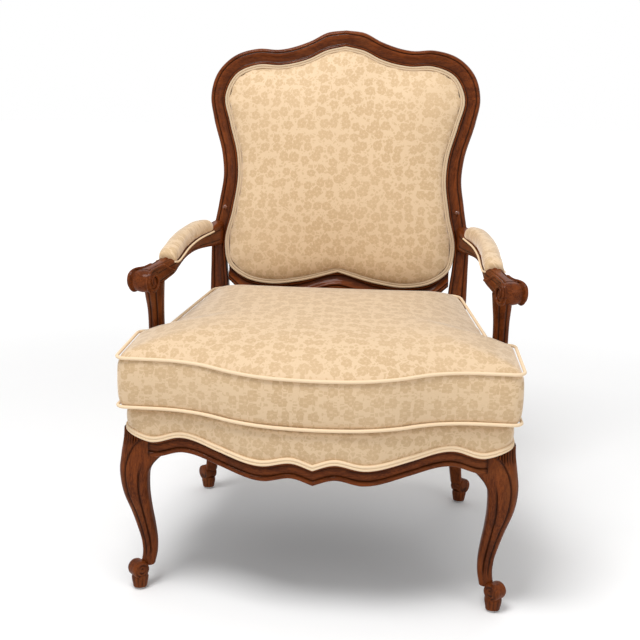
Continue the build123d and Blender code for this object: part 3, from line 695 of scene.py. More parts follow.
def cell_map(place, feature, randomness, output):
    """One measure of a flat layout of cells."""
    return place.make(
        "ShaderNodeTexVoronoi", {"voronoi_dimensions": "2D", "feature": feature},
        {"Vector": place, "Scale": 1.0, "Randomness": randomness}, output,
    )


def scaled(place, factor):
    """Place times a factor."""
    return place.make("ShaderNodeVectorMath", {"operation": "SCALE"}, {0: place, "Scale": factor})


def length_of(place):
    """Distance of a place from the origin."""
    return place.make("ShaderNodeVectorMath", {"operation": "LENGTH"}, {0: place}, "Value")


def cosine(angle):
    """Cosine of an angle."""
    return angle.make("ShaderNodeMath", {"operation": "COSINE"}, {0: angle})


def blend_colours(start, factor, a, b, kind="MIX"):
    """Mix of two colours by a factor."""
    return start.make(
        "ShaderNodeMix", {"data_type": "RGBA", "blend_type": kind}, {0: factor, 6: a, 7: b}, output=2
    )


def smooth_step(value, low, high):
    """Value eased from 0 to 1 between two limits."""
    return value.make(
        "ShaderNodeMapRange", {"interpolation_type": "SMOOTHSTEP"},
        {0: value, 1: low, 2: high, 3: 0.0, 4: 1.0},
    )


def walnut(name, grain, polish=0.2):
    """Stained walnut with its grain one way, with painted shade in the carving, and lighter where it is
    worn.
    """
    look = bpy.context.scene.chair_wood
    finish, shader, start = new_finish(name)
    place = object_place(start)
    stretched = start.make("ShaderNodeMapping", {}, {"Vector": place, "Scale": grain})
    cloud = noise(stretched, 14.0, 4.0, 0.6)
    fibre = noise(stretched, 85.0, 3.0, 0.65)
    pores = noise(stretched, 260.0, 2.0)
    patches = noise(place, 9.0, 3.0, 0.55)
    # Painted shade in the carving, kept on the points of each piece; it also roughens the carving
    recess_shade = start.make("ShaderNodeAttribute", {"attribute_name": "recess_shade"}, output="Fac")
    tone = smooth_step(cloud * 0.5 + fibre * 0.5, 0.36, 0.66)
    base = blend_colours(start, tone, colour4(look.dark), colour4(look.light))
    worn = smooth_step(patches, 0.52, 0.74) * (1 - recess_shade) * 0.4
    base = blend_colours(start, worn, base, colour4(look.worn))
    pit = smooth_step(pores, 0.6, 0.72) * 0.35
    base = blend_colours(start, pit, base, colour4(look.pore_and_recess_shade))
    # Painted shade: the carving is mixed towards the colour of the pores
    base = blend_colours(start, recess_shade * 0.84, base, colour4(look.pore_and_recess_shade))
    feed(base, shader, "Base Color")
    feed(0.31 + fibre * 0.16 + recess_shade * 0.2, shader, "Roughness")
    settle(shader, {
        "Specular IOR Level": 0.02, "Coat Weight": polish, "Coat IOR": 1.3 + 0.5 * polish,
        "Coat Roughness": 0.1,
    })
    roughen(fibre * 0.6 + pores * 0.4, shader, 0.18, 0.0006)
    return finish


def damask(name, ground, blossom, pitch):
    """Cream damask: satin ground with matt tan blossoms and sprays, on the piece's own map."""
    finish, shader, start = new_finish(name)
    flat = start.make("ShaderNodeUVMap", {"uv_map": "UVMap"})
    wander = noise(flat, 26.0, 2.0, space="2D", output="Color")
    bent = start.make(
        "ShaderNodeVectorMath", {"operation": "MULTIPLY_ADD"}, {0: wander, 1: (0.008, 0.008, 0.0), 2: flat}
    )
    cells = scaled(bent, 1.0 / pitch)
    centre = cell_map(cells, "F1", 0.66, "Position")
    hue = cell_map(cells, "F1", 0.66, "Color")
    own = start.make("ShaderNodeVectorMath", {"operation": "SUBTRACT"}, {0: cells, 1: centre})
    x = start.make("ShaderNodeSeparateXYZ", {}, {0: own}, "X")
    y = start.make("ShaderNodeSeparateXYZ", {}, {0: own}, "Y")
    turn = start.make("ShaderNodeSeparateColor", {}, {0: hue}, "Red")
    size = start.make("ShaderNodeSeparateColor", {}, {0: hue}, "Green")
    radius = length_of(own)
    angle = start.make("ShaderNodeMath", {"operation": "ARCTAN2"}, {0: y, 1: x}) + turn * 6.283
    petal = cosine(angle * 6.0)
    ragged = noise(cells, 5.0, 2.0, space="2D")
    edge = 0.25 + size * 0.09 + petal * 0.03 + ragged * 0.16
    flower = smooth_step(edge - radius, -0.02, 0.03)
    vein = cosine(angle * 5.0 + radius * 14.0)
    heart = smooth_step(0.09 - radius, -0.02, 0.02)
    lines = smooth_step(vein, 0.75, 0.98) * smooth_step(radius, 0.1, 0.16)
    small = scaled(bent, 2.6 / pitch)
    leaf_gap = cell_map(small, "DISTANCE_TO_EDGE", 0.95, "Distance")
    leaf_pick = noise(small, 0.9, 1.0, space="2D")
    leaf = smooth_step(leaf_gap, 0.10, 0.15) * smooth_step(leaf_pick, 0.50, 0.56)
    leaf = leaf * smooth_step(radius, 0.34, 0.42)
    pattern = flower * (1 - lines * 0.55) * (1 - heart * 0.6) + leaf * 0.8
    fade = noise(flat, 7.0, 3.0, space="2D")
    pattern = pattern * (0.6 + fade * 0.6)
    threads = bands(flat, "DIAGONAL", 420.0, 0.6)
    slub = noise(flat, 900.0, 2.0, space="2D")
    base = blend_colours(start, pattern, colour4(ground), colour4(blossom))
    base = blend_colours(start, 1.0, base, grey(0.94 + slub * 0.12), "MULTIPLY")
    feed(base, shader, "Base Color")
    feed(0.6 + pattern * 0.22, shader, "Roughness")
    settle(shader, {"Sheen Weight": 0.6, "Sheen Roughness": 0.35, "Specular IOR Level": 0.35})
    roughen(threads * 0.35 + slub * 0.4 + pattern * 0.25, shader, 0.25, 0.0005)
    return finish


def plain_cloth(name, colour, scale):
    """Plain woven cloth with a visible weave."""
    finish, shader, start = new_finish(name)
    place = object_place(start)
    weave = bands(place, "X", scale, 1.5) * bands(place, "Z", scale, 1.5)
    mottle = noise(place, 60.0, 3.0)
    tone = weave * 0.35 + mottle * 0.45
    feed(blend_colours(start, tone, colour4(darker(colour, 0.72)), colour4(colour)), shader, "Base Color")
    settle(shader, {"Roughness": 0.85, "Sheen Weight": 0.15})
    roughen(weave, shader, 0.3, 0.0006)
    return finish


def bare_metal(name, colour, rough):
    """Plain metal with fine scratches."""
    finish, shader, start = new_finish(name)
    marks = noise(object_place(start), 180.0, 4.0)
    feed(blend_colours(start, marks, colour4(darker(colour, 0.7)), colour4(colour)), shader, "Base Color")
    feed(rough + marks * 0.2, shader, "Roughness")
    settle(shader, {"Metallic": 1.0})
    return finish


def raw_wood(name, colour):
    """Unfinished inner timber with a plain grain."""
    finish, shader, start = new_finish(name)
    place = object_place(start)
    stretched = start.make("ShaderNodeMapping", {}, {"Vector": place, "Scale": GRAIN_ACROSS})
    grain = noise(stretched, 40.0, 4.0)
    tone = smooth_step(grain, 0.35, 0.7)
    feed(blend_colours(start, tone, colour4(darker(colour, 0.6)), colour4(colour)), shader, "Base Color")
    feed(0.6 + grain * 0.2, shader, "Roughness")
    return finish


# Soft pieces

def places(mesh):
    """Places of the vertices of a mesh."""
    flat = np.empty(len(mesh.vertices) * 3)
    mesh.vertices.foreach_get("co", flat)
    return flat.reshape(-1, 3)


def lay_map(thing, placed):
    """Give a piece its cloth map: placed tells where its faces' corners lie on the cloth, in metres."""
    mesh = thing.data
    corners = np.empty(len(mesh.loops), np.int32)
    mesh.loops.foreach_get("vertex_index", corners)
    normals = np.empty(len(mesh.polygons) * 3)
    mesh.polygons.foreach_get("normal", normals)
    sides = np.empty(len(mesh.polygons), np.int32)
    mesh.polygons.foreach_get("loop_total", sides)
    faces = np.repeat(np.arange(len(sides)), sides)
    spots = placed(places(mesh), corners, normals.reshape(-1, 3), faces)
    layer = mesh.uv_layers.get("UVMap") or mesh.uv_layers.new(name="UVMap")
    layer.data.foreach_set("uv", np.ascontiguousarray(spots).ravel())


class RoundMap:
    """Cloth map of a piece made round a plan outline: flat on top, running round its sides."""

    def __init__(self, plan):
        self.edge = np.array([(p.x, p.y) for p in plan.points]) * MM
        self.along = np.array(plan.along) * MM
        self.turn = plan.length * MM

    def __call__(self, points, corners, normals, faces):
        along = np.empty(len(points))
        for first in range(0, len(points), 4000):
            part = points[first:first + 4000, None, :2]
            along[first:first + 4000] = self.along[((part - self.edge) ** 2).sum(2).argmin(1)]
        run = along[corners]
        high = np.full(len(normals), -9.0)
        low = np.full(len(normals), 9.0)
        np.maximum.at(high, faces, run)
        np.minimum.at(low, faces, run)
        run = run + self.turn * ((high - low > self.turn / 2)[faces] & (run < 0))
        at = points[corners]
        level = np.abs(normals[faces, 2]) > 0.62
        return np.where(level[:, None], at[:, :2], np.stack([run, at[:, 2]], 1))


class FaceMap:
    """Cloth map of a piece seen square on, across two directions."""

    def __init__(self, across, up):
        self.across = np.array(across)
        self.up = np.array(up)

    def __call__(self, points, corners, normals, faces):
        at = points[corners]
        return np.stack([at @ self.across, at @ self.up], 1)


def swap_mesh(thing, mesh):
    """Put a new mesh on an object and drop its modifiers."""
    thing.modifiers.clear()
    old = thing.data
    mesh.name = old.name
    thing.data = mesh
    bpy.data.meshes.remove(old)


def as_shown(thing):
    """Mesh of an object with its modifiers applied."""
    graph = bpy.context.evaluated_depsgraph_get()
    return bpy.data.meshes.new_from_object(thing.evaluated_get(graph))


def swell(thing, start, weights, pressure, cap):
    """Run the cloth of a pad under pressure with its seams held, and move its points at most a cap."""
    grip = thing.vertex_groups.new(name="seam")
    for index, weight in enumerate(weights):
        if weight > 0.01:
            grip.add([index], float(weight), "REPLACE")
    cloth = thing.modifiers.new("swell", "CLOTH")
    for key, setting in FABRIC.items():
        setattr(cloth.settings, key, setting)
    cloth.settings.uniform_pressure_force = pressure
    cloth.settings.effector_weights.gravity = 0
    cloth.collision_settings.use_collision = False
    scene = bpy.context.scene
    for number in range(1, SWELL_FRAMES + 1):
        scene.frame_set(number)
    swap_mesh(thing, as_shown(thing))
    scene.frame_set(1)
    thing.vertex_groups.clear()
    mesh = thing.data
    step = places(mesh) - start
    far = np.maximum(np.linalg.norm(step, axis=1), 1e-9)
    step *= np.minimum(1.0, cap * MM / far)[:, None]
    mesh.vertices.foreach_set("co", (start + step).ravel())
    mesh.update()


def plump(thing, held, pressure, cap, voxel, passes=3):
    """Remesh a pad evenly, swell it with its seams held, and smooth it."""
    remesh = thing.modifiers.new("even", "REMESH")
    remesh.mode = "VOXEL"
    remesh.voxel_size = voxel * MM
    swap_mesh(thing, as_shown(thing))
    start = places(thing.data)
    swell(thing, start, held(start / MM), pressure, cap)
    bm = bmesh.new()
    bm.from_mesh(thing.data)
    for turn in range(passes):
        bmesh.ops.smooth_vert(
            bm, verts=bm.verts, factor=0.5, use_axis_x=True, use_axis_y=True, use_axis_z=True
        )
    bm.to_mesh(thing.data)
    bm.free()
    finer = thing.modifiers.new("finer", "SUBSURF")
    finer.levels = 1
    finer.render_levels = 1
    swap_mesh(thing, as_shown(thing))
    thing.data.shade_smooth()


def seam_weights(lines, reach):
    """Weights that hold the points of a pad near its seam lines."""
    marks = np.array([tuple(p) for line in lines for p in line])

    def held(points):
        best = np.full(len(points), 1e9)
        for first in range(0, len(points), 2000):
            part = points[first:first + 2000]
            gap = np.sqrt(((part[:, None, :] - marks[None, :, :]) ** 2).sum(2)).min(1)
            best[first:first + 2000] = gap
        return np.clip((reach - best) / (reach * 0.5), 0, 1)

    return held


# Properties

class WoodLook(bpy.types.PropertyGroup):
    """Colours of the stained walnut."""

    dark: FloatVectorProperty(
        name="Dark grain", description="Colour of the dark grain",
        subtype="COLOR", default=(0.07, 0.0155, 0.0036),
    )
    light: FloatVectorProperty(
        name="Light grain", description="Colour of the light grain",
        subtype="COLOR", default=(0.18, 0.0425, 0.0085),
    )
    worn: FloatVectorProperty(
        name="Worn", description="Colour where the stain is rubbed thin",
        subtype="COLOR", default=(0.27, 0.086, 0.025),
    )
    # Colour of the pores, also used for the painted shade in the carving
    pore_and_recess_shade: FloatVectorProperty(
        name="Recess", description="Colour in pores and carving",
        subtype="COLOR", default=(0.015, 0.0042, 0.0014),
    )


class ClothLook(bpy.types.PropertyGroup):
    """Colours and repeat of the damask."""

    ground: FloatVectorProperty(
        name="Ground", description="Colour of the satin ground",
        subtype="COLOR", default=(0.655, 0.478, 0.298),
    )
    blossom: FloatVectorProperty(
        name="Blossom", description="Colour of the woven blossoms",
        subtype="COLOR", default=(0.54, 0.373, 0.21),
    )
    welt: FloatVectorProperty(
        name="Welt", description="Colour of the welt cords",
        subtype="COLOR", default=(0.68, 0.505, 0.325),
    )
    repeat: FloatProperty(
        name="Blossom pitch", description="Distance from blossom to blossom",
        unit="LENGTH", default=0.0245,
    )


class PadFeel(bpy.types.PropertyGroup):
    """How the soft pieces are plumped."""

    pressure: FloatProperty(name="Pressure", description="Pressure inside the pads", default=4.0)
    cushion_cap: FloatProperty(
        name="Seat swell", description="Most the seat cushion swells, in mm", default=22.0
    )
    back_cap: FloatProperty(name="Back swell", description="Most the back pad swells, in mm", default=12.0)
    voxel: IntProperty(name="Mesh step", description="Step of the seat cushion's mesh, in mm", default=7)


class Studio(bpy.types.PropertyGroup):
    """Light and floor."""

    key: FloatProperty(
        name="Key lamp", description="Strength of the main lamp", unit="POWER", default=78.0
    )
    fill: FloatProperty(
        name="Fill lamp", description="Strength of the fill lamp", unit="POWER", default=9.0
    )
    world: FloatProperty(name="Surround", description="Strength of the surrounding light", default=0.56)
    floor: FloatVectorProperty(
        name="Floor", description="Colour of the floor", subtype="COLOR", default=(0.95, 0.95, 0.95)
    )


# Operators

class CHAIR_OT_stage(bpy.types.Operator):
    """Floor, lamps and the camera"""

    bl_idname = "chair.stage"
    bl_label = "Stage"

    def surround(self, scene, look):
        """White surround that lights the chair with only part of its strength."""
        world = bpy.data.worlds.new("studio")
        scene.world = world
        world.use_nodes = True
        tree = world.node_tree
        start = Value(tree)
        seen = start.make("ShaderNodeLightPath", output="Is Camera Ray")
        glossy = start.make("ShaderNodeLightPath", output="Is Glossy Ray")
        through = start.make("ShaderNodeLightPath", output="Is Transmission Ray")
        white = start.make("ShaderNodeClamp", {}, {"Value": seen + glossy + through})
        background = tree.nodes["Background"]
        settle(background, {"Color": (1, 1, 1, 1)})
        feed(look.world + (1.0 - look.world) * white, background, "Strength")

    def floor(self, scene, look):
        """Round floor with a painted glow that grows with distance, so that it fades into the surround."""
        bm = bmesh.new()
        bmesh.ops.create_circle(bm, cap_ends=True, segments=96, radius=FLOOR_RADIUS)
        mesh = bpy.data.meshes.new("floor")
        bm.to_mesh(mesh)
        bm.free()
        floor = bpy.data.objects.new("floor", mesh)
        scene.collection.objects.link(floor)
        finish, shader, start = new_finish("floor")
        settle(shader, {
            "Base Color": colour4(look.floor), "Roughness": 0.9, "Specular IOR Level": 0.1,
            "Emission Strength": 0.5,
        })
        # Painted glow that grows with distance, so the far floor turns white
        away = length_of(object_place(start))
        feed(grey(smooth_step(away, *FLOOR_PAINTED_GLOW)), shader, "Emission Color")
        mesh.materials.append(finish)

    def lamps(self, scene, look):
        """Main lamp, fill lamp and rear lamp: name, power, size, place."""
        rows = [
            ("key", look.key, 1.3, (-0.6, -1.25, 3.3)),
            ("fill", look.fill, 1.6, (2.0, -1.9, 1.9)),
            ("rear", look.fill, 1.6, (0.6, 2.2, 2.8)),
        ]
        for name, power, size, spot in rows:
            lamp = bpy.data.lights.new(name, "AREA")
            lamp.energy = power
            lamp.size = size
            thing = bpy.data.objects.new(name, lamp)
            thing.location = spot
            thing.rotation_mode = "QUATERNION"
            thing.rotation_quaternion = (LAMP_AIM - Vector(spot)).to_track_quat("-Z", "Y")
            scene.collection.objects.link(thing)

    def camera(self, scene):
        """Camera of the photograph."""
        level = math.cos(CAMERA_PITCH)
        flat = Vector((math.cos(CAMERA_YAW), math.sin(CAMERA_YAW), 0))
        ahead = Vector((-flat.y * level, flat.x * level, -math.sin(CAMERA_PITCH)))
        steep = flat.cross(ahead)
        right = flat * math.cos(CAMERA_ROLL) + steep * math.sin(CAMERA_ROLL)
        up = steep * math.cos(CAMERA_ROLL) - flat * math.sin(CAMERA_ROLL)
        lens = bpy.data.cameras.new("camera")
        lens.sensor_width = 36.0
        lens.lens = CAMERA_LENS
        lens.shift_x, lens.shift_y = CAMERA_SHIFT
        camera = bpy.data.objects.new("camera", lens)
        turned = Matrix((right, up, -ahead)).transposed().to_4x4()
        camera.matrix_world = Matrix.Translation(CAMERA_PLACE) @ turned
        scene.collection.objects.link(camera)
        scene.camera = camera

    def execute(self, context):
        scene = context.scene
        look = scene.chair_studio
        scene.view_settings.view_transform = "Standard"
        self.surround(scene, look)
        self.floor(scene, look)
        self.lamps(scene, look)
        self.camera(scene)
        return {"FINISHED"}


def mirrored(line):
    """Flat line that starts on the middle, with its mirror image before it."""
    return [Vector((-p.x, p.y)) for p in reversed(line[1:])] + line


def band_rings(outer, inner):
    """Rings of the back frame's moulding between two lines on the back's face."""
    rings = []
    for far in outer:
        near = min(inner, key=lambda p: (p - far).length_squared)
        rings.append([on_back(*(near + (far - near) * t), h) for t, h, s in BACK_MOULDING])
    return rings


def rear_leg_rings():
    """Rings of the rear leg, with their points in the order of the back frame's moulding."""
    count = len(BACK_MOULDING)
    rings = []
    for z, x, y, side in line_through(REAR_LEG, 5.0):
        outline = section(side, side, side * 0.3, 4 * count)
        ring = []
        for t, h, s in BACK_MOULDING:
            deep = (0.5 + min(max(h, -FRAME_DEPTH), 0) / FRAME_DEPTH) * side
            aim = math.atan2(-deep, (t - 0.5) * side)
            turns = [abs(math.remainder(math.atan2(p.y, p.x) - aim, 2 * math.pi)) for p in outline]
            best = outline[turns.index(min(turns))]
            ring.append(Vector((x + best.x, y + best.y, z)))
        rings.append(ring)
    return rings


def dome(bm, spot, turned, radius, segments, rings):
    """Ball at a place, turned and flattened by a matrix."""
    bmesh.ops.create_uvsphere(
        bm, u_segments=segments, v_segments=rings, radius=radius * MM,
        matrix=Matrix.Translation(spot * MM) @ turned,
    )


class CHAIR_OT_back_frame(bpy.types.Operator):
    """Moulded crest rail, stiles with their rear legs, and lower rail of the back"""

    bl_idname = "chair.back_frame"
    bl_label = "Back frame"

    def execute(self, context):
        upright = walnut("walnut_upright", GRAIN_UP)
        across = walnut("walnut_across", GRAIN_ACROSS)
        half = line_through(BACK_OUTER, 5.0)
        joint = next(index for index, p in enumerate(half) if p.y < CREST_JOINT)
        inner = line_through(BACK_INNER_SIDE + STILE_INNER_FOOT, 1.0)
        shades = [s for t, h, s in BACK_MOULDING]
        bm = bmesh.new()
        rings = band_rings(mirrored(half[:joint + 1]), mirrored(inner))
        skin(bm, rings, [shades] * len(rings))
        piece("crest_rail_moulded", bm, across, nodes=["crest_rail"])

        def stile(bm):
            moulded = band_rings(half[joint:], inner)
            legs = rear_leg_rings()
            plain = [0.0] * len(shades)
            skin(bm, moulded + legs, [shades] * len(moulded) + [plain] * len(legs))
            scroll_foot(bm, REAR_FOOT, Vector((1, 1, 0)), REAR_SCROLL, 1.4, 6.0)

        pair("stile_moulded", stile, upright, ["stile"])

        bm = bmesh.new()
        left = [(-x, z) for x, z in BACK_INNER_LOW]
        rings = []
        for p in line_through(left + BACK_INNER_LOW[-2::-1], 6.0):
            low = p.y - LOWER_RAIL_HEIGHT + LOWER_RAIL_TAPER * (abs(p.x) / BACK_INNER_LOW[0][0]) ** 2
            rings.append([
                on_back(p.x, p.y + (low - p.y) * t, h - LOWER_RAIL_SET_BACK) for t, h, s in BACK_MOULDING
            ])
        skin(bm, rings, [shades] * len(rings))
        piece("back_lower_rail_moulded", bm, across, nodes=["back_lower_rail"])
        bm = bmesh.new()
        flat = Matrix.Rotation(RAKE, 4, "X") @ Matrix.Diagonal((1, 0.6, 1, 1))
        for x in (-PLUG[0], PLUG[0]):
            dome(bm, on_back(x, PLUG[1], PLUG_PROUD), flat, PLUG_RADIUS, 24, 14)
        piece("stile_plugs_domed", bm, walnut("walnut_plug", GRAIN_UP, 0.9), nodes=["stile_plugs"])
        return {"FINISHED"}


def scroll_foot(bm, spot, out, half, depth, pitch):
    """Scroll foot turned outwards in a direction, with its small fluted pad."""
    middle = Vector((*spot, SCROLL_HEIGHT)) + out.normalized() * SCROLL_REACH
    whorl_roll(bm, middle, UP.cross(out), half, depth, pitch)
    rows = []
    for z, radius in FOOT_PAD:
        row = []
        for step in range(TURNED_STEPS):
            angle = 2 * math.pi * step / TURNED_STEPS
            flute = max(0.0, math.cos(angle * FOOT_FLUTES)) ** 3 * (FOOT_FLUTE_DEPTH if 5 < z < 25 else 0.0)
            reach = radius - flute
            point = Vector((spot[0] + reach * math.cos(angle), spot[1] + reach * math.sin(angle), z))
            # The flutes get painted shade.
            row.append((point, flute * 0.7))
        rows.append(row)
    carved(bm, rows)


class CHAIR_OT_front_legs(bpy.types.Operator):
    """Cabriole front legs with carved knees, grooves and scroll feet"""

    bl_idname = "chair.front_legs"
    bl_label = "Front legs"

    def cut(self, p, z, side, mark):
        """How deep the carving is at a point of a leg's section, with the leaf line at a mark; this is also
        the painted shade there.
        """
        deepest = 0.0
        low = ramp(z, *GROOVE_RISE)
        inner = 0.3 + 0.2 * ramp(z, *SECOND_RISE)
        for face, s in ((-p.y, -p.x), (p.x, p.y)):
            if face < side / 2 - LEG_FACE_DEPTH:
                continue
            spread = s / (side / 2)
            first = notch((spread - mark) * side / 2, LEG_GROOVE_WIDTH)
            second = notch((spread - inner) * side / 2, LEG_GROOVE_WIDTH) * ramp(z, *SECOND_END)
            deepest = max(deepest, first * low, second * low)
            if z > HATCH_RISE[0] and spread < mark - 0.12:
                hatch = 0.5 + 0.5 * math.cos(spread * HATCH_RATE)
                deepest = max(deepest, 0.9 * hatch * ramp(z, *HATCH_RISE))
        return deepest

    def execute(self, context):
        upright = bpy.data.materials["walnut_upright"]
        knee = line_through(KNEE_LINE, 0.4)[::-1]
        knee_z = [p.y for p in knee]
        knee_s = [p.x for p in knee]

        def leg(bm):
            rows = []
            for z, reach, side in line_through(FRONT_LEG, 3.0):
                row = []
                fuller = ramp(z, *KNEE_RISE)
                side += KNEE_FULLNESS * fuller
                cx = FRONT_FOOT[0] + reach + KNEE_SHIFT[0] * fuller
                cy = FRONT_FOOT[1] - reach + KNEE_SHIFT[1] * fuller
                ear = KNEE_EAR * ramp(z, *EAR_RISE) ** 2
                mark = float(np.interp(z, knee_z, knee_s))
                for p in section(side, side, side * 0.36, 184):
                    cut = self.cut(p, z, side, mark)
                    seam = p.x < LEG_GAP_SHADOW_WIDTH - side / 2 or p.y > side / 2 - LEG_GAP_SHADOW_WIDTH
                    point = p - p.normalized() * LEG_GROOVE_DEPTH * cut
                    point.x += cx - ear * max(-p.x / side * 2, 0) ** 2
                    point.y += cy + ear * max(p.y / side * 2, 0) ** 2
                    top = border_edge(point) if z > 290 else math.inf
                    # Painted shadow on the leg's inner faces above the rail, in the gap where the rail
                    # meets it
                    shade = max(cut, 0.9 * (seam and z > LEG_GAP_SHADOW_FOOT))
                    row.append((Vector((point.x, point.y, min(z, top))), shade))
                rows.append(row)
            carved(bm, rows)
            scroll_foot(bm, FRONT_FOOT, Vector((1, -1, 0)), FRONT_SCROLL, 1.8, 6.2)

        pair("front_leg_carved", leg, upright, ["front_leg"])
        return {"FINISHED"}


def sweep_frame(path, index):
    """Directions across and up at a point of a run."""
    before = path[max(index - 1, 0)]
    after = path[min(index + 1, len(path) - 1)]
    along = (after - before).normalized()
    across = UP.cross(along).normalized()
    return across, along.cross(across)


def nearest(path, depth):
    """Index of the point of a run that is nearest to a depth."""
    return min(range(len(path)), key=lambda k: abs(path[k].y - depth))


def sample_rows(rows, spacing):
    """Section rows along a run, smoothly between the given ones."""
    marks = [0.0]
    for a, b in zip(rows, rows[1:]):
        marks.append(marks[-1] + (Vector(b[:3]) - Vector(a[:3])).length)
    columns = []
    for column in range(len(rows[0])):
        line = line_through([(m, row[column]) for m, row in zip(marks, rows)], 1.0)
        columns.append(([p.x for p in line], [p.y for p in line]))
    count = round(marks[-1] / spacing)
    steps = [marks[-1] * k / count for k in range(count + 1)]
    return [tuple(float(np.interp(step, xs, ys)) for xs, ys in columns) for step in steps]


class CHAIR_OT_arms(bpy.types.Operator):
    """Arms with their rolled hands, and the fluted supports under them"""

    bl_idname = "chair.arms"
    bl_label = "Arms"

    def rail(self, bm, rows, path):
        """Arm with its grooves, and with a crown and two beads towards the hand."""
        carving = []
        for index, (x, y, z, wide, high) in enumerate(rows):
            across, up = sweep_frame(path, index)
            row = []
            hand = ramp(y, *HAND_START)
            for p in section(wide, high, wide * 0.3, 104):
                point = Vector(p)
                cut = 0.0
                if abs(p.x) > wide / 2 - 1.0:
                    for level in ARM_GROOVES:
                        cut = max(cut, notch(p.y - level * high, ARM_GROOVE_WIDTH) * (y < ARM_GROOVE_END))
                    point.x -= math.copysign(ARM_GROOVE_DEPTH * cut, p.x)
                if p.y > high / 2 - 3.0:
                    spread = abs(p.x) / wide
                    crown = max(1 - (spread / TOP_CROWN[0]) ** 2, 0) * hand
                    bead = notch((spread - TOP_BEAD[0]) * wide, TOP_BEAD[1]) * hand
                    gap = notch((spread - TOP_GAP[0]) * wide, TOP_GAP[1]) * hand
                    point.y += TOP_BEAD[2] * bead + TOP_CROWN[1] * crown - TOP_GAP[2] * gap
                    # The gap beside the bead gets painted shade.
                    cut = max(cut, 0.9 * gap)
                row.append((path[index] + across * point.x + up * point.y, cut))
            carving.append(row)
        carved(bm, carving)

    def beads(self, bm, rows, path, axis):
        """Bead on each side of the hand, which climbs from the arm and coils on the end of the roll."""
        forward = axis.cross(UP)
        forward = forward if forward.y < 0 else -forward
        for end in (-1, 1):
            line = []
            for index, (x, y, z, wide, high) in enumerate(rows):
                if BEAD_DEPTHS[0] < y < BEAD_DEPTHS[1]:
                    across, up = sweep_frame(path, index)
                    climb = ramp(y, *BEAD_CLIMB)
                    climb = climb * climb * (3 - 2 * climb)
                    rise = high * (climb * 0.64 - 0.16)
                    line.append(path[index] + across * end * wide * (0.5 - 0.06 * climb) + up * rise)
            for step in range(1, BEAD_STEPS):
                turn = math.radians(-8 + step * 10)
                reach = 20.5 - 15.5 * step / BEAD_STEPS
                out = end * min(17 + step * 0.9, 22.0)
                line.append(HAND + axis * out + (UP * math.cos(turn) + forward * math.sin(turn)) * reach)
            cord(bm, line_through(line, 2.5), BEAD_RADIUS, UP, sides=12, closed=False, taper=0.6)

    def leaf(self, bm, rows, path):
        """Small leaf of three lobes on the arm."""
        for offset in LEAF_LOBES:
            index = nearest(path, LEAF_DEPTH + abs(offset) * 0.5)
            across, up = sweep_frame(path, index)
            spot = path[index] + across * offset + up * (rows[index][4] / 2 - 0.2 - abs(offset) * 0.25)
            turned = Matrix((across, across.cross(up), up)).transposed().to_4x4()
            dome(bm, spot, turned @ Matrix.Diagonal((0.45, 1.0, 0.3, 1)), LEAF_REACH, 20, 12)

    def execute(self, context):
        upright = bpy.data.materials["walnut_upright"]
        along = walnut("walnut_along", GRAIN_ALONG)
        rows = sample_rows(ARM, ARM_STEP)
        path = [Vector(row[:3]) for row in rows]
        axis = Vector((math.cos(HAND_TURN), math.sin(HAND_TURN), 0))

        def arm(bm):
            self.rail(bm, rows, path)
            whorl_roll(bm, HAND, axis, HAND_ROLL, 2.0, 7.5)
            self.beads(bm, rows, path, axis)
            self.leaf(bm, rows, path)

        pair("arm_carved", arm, along, ["arm"])

        def support(bm):
            carving = []
            for z, x, y, wide, deep in sample_rows(ARM_SUPPORT, ARM_STEP):
                row = []
                for p in section(wide, deep, wide * 0.34, 120):
                    point = Vector(p)
                    cut = 0.0
                    if abs(p.y) > deep / 2 - 1.2:
                        cut = max(notch(p.x - level * wide, SUPPORT_FLUTE_WIDTH) for level in (-0.2, 0.2))
                        point.y -= math.copysign(SUPPORT_FLUTE_DEPTH * cut, p.y)
                    elif abs(p.x) > wide / 2 - 1.2:
                        cut = max(notch(p.y - level * deep, SUPPORT_FLUTE_WIDTH) for level in (-0.22, 0.22))
                        point.x -= math.copysign(SUPPORT_FLUTE_DEPTH * cut, p.x)
                    # The flutes get painted shade.
                    row.append((Vector((x + point.x, y + point.y, z)), cut))
                carving.append(row)
            carved(bm, carving)

        pair("arm_support_fluted", support, upright, ["arm_support"])
        return {"FINISHED"}


class CHAIR_OT_seat_rails(bpy.types.Operator):
    """Moulded front rail and side rails"""

    bl_idname = "chair.seat_rails"
    bl_label = "Seat rails"

    def execute(self, context):
        across = bpy.data.materials["walnut_across"]
        along = bpy.data.materials["walnut_along"]

        def rail(bm, picked, top, joint):
            rows = []
            for p, n in picked:
                # Painted shade of the gap at the rail's ends past the joint, where it meets the legs
                dark = float(abs(p.x) > joint)
                row = []
                for d, h, s in RAIL_MOULDING:
                    row.append((Vector((p.x + n.x * d, p.y + n.y * d, top(p) + h)), max(s, dark)))
                rows.append(row)
            carved(bm, rows)

        spots = list(zip(SEAT.points, SEAT.outward))
        front = [s for s in spots if abs(s[0].x) < FRONT_RAIL_END and s[0].y < RAIL_END_Y]
        front.sort(key=lambda s: s[0].x)
        bm = bmesh.new()
        rail(bm, front, lambda p: apron(p.x), FRONT_RAIL_GAP_SHADE)
        piece("front_rail_moulded", bm, across, nodes=["front_rail"])
        side = [s for s in spots if s[0].x > 200 and SIDE_RAIL_DEPTHS[0] < s[0].y < SIDE_RAIL_DEPTHS[1]]

        def side_rail(bm):
            rail(bm, side, lambda p: RAIL_TOP, math.inf)

        pair("side_rail_moulded", side_rail, along, ["side_rail"])
        return {"FINISHED"}


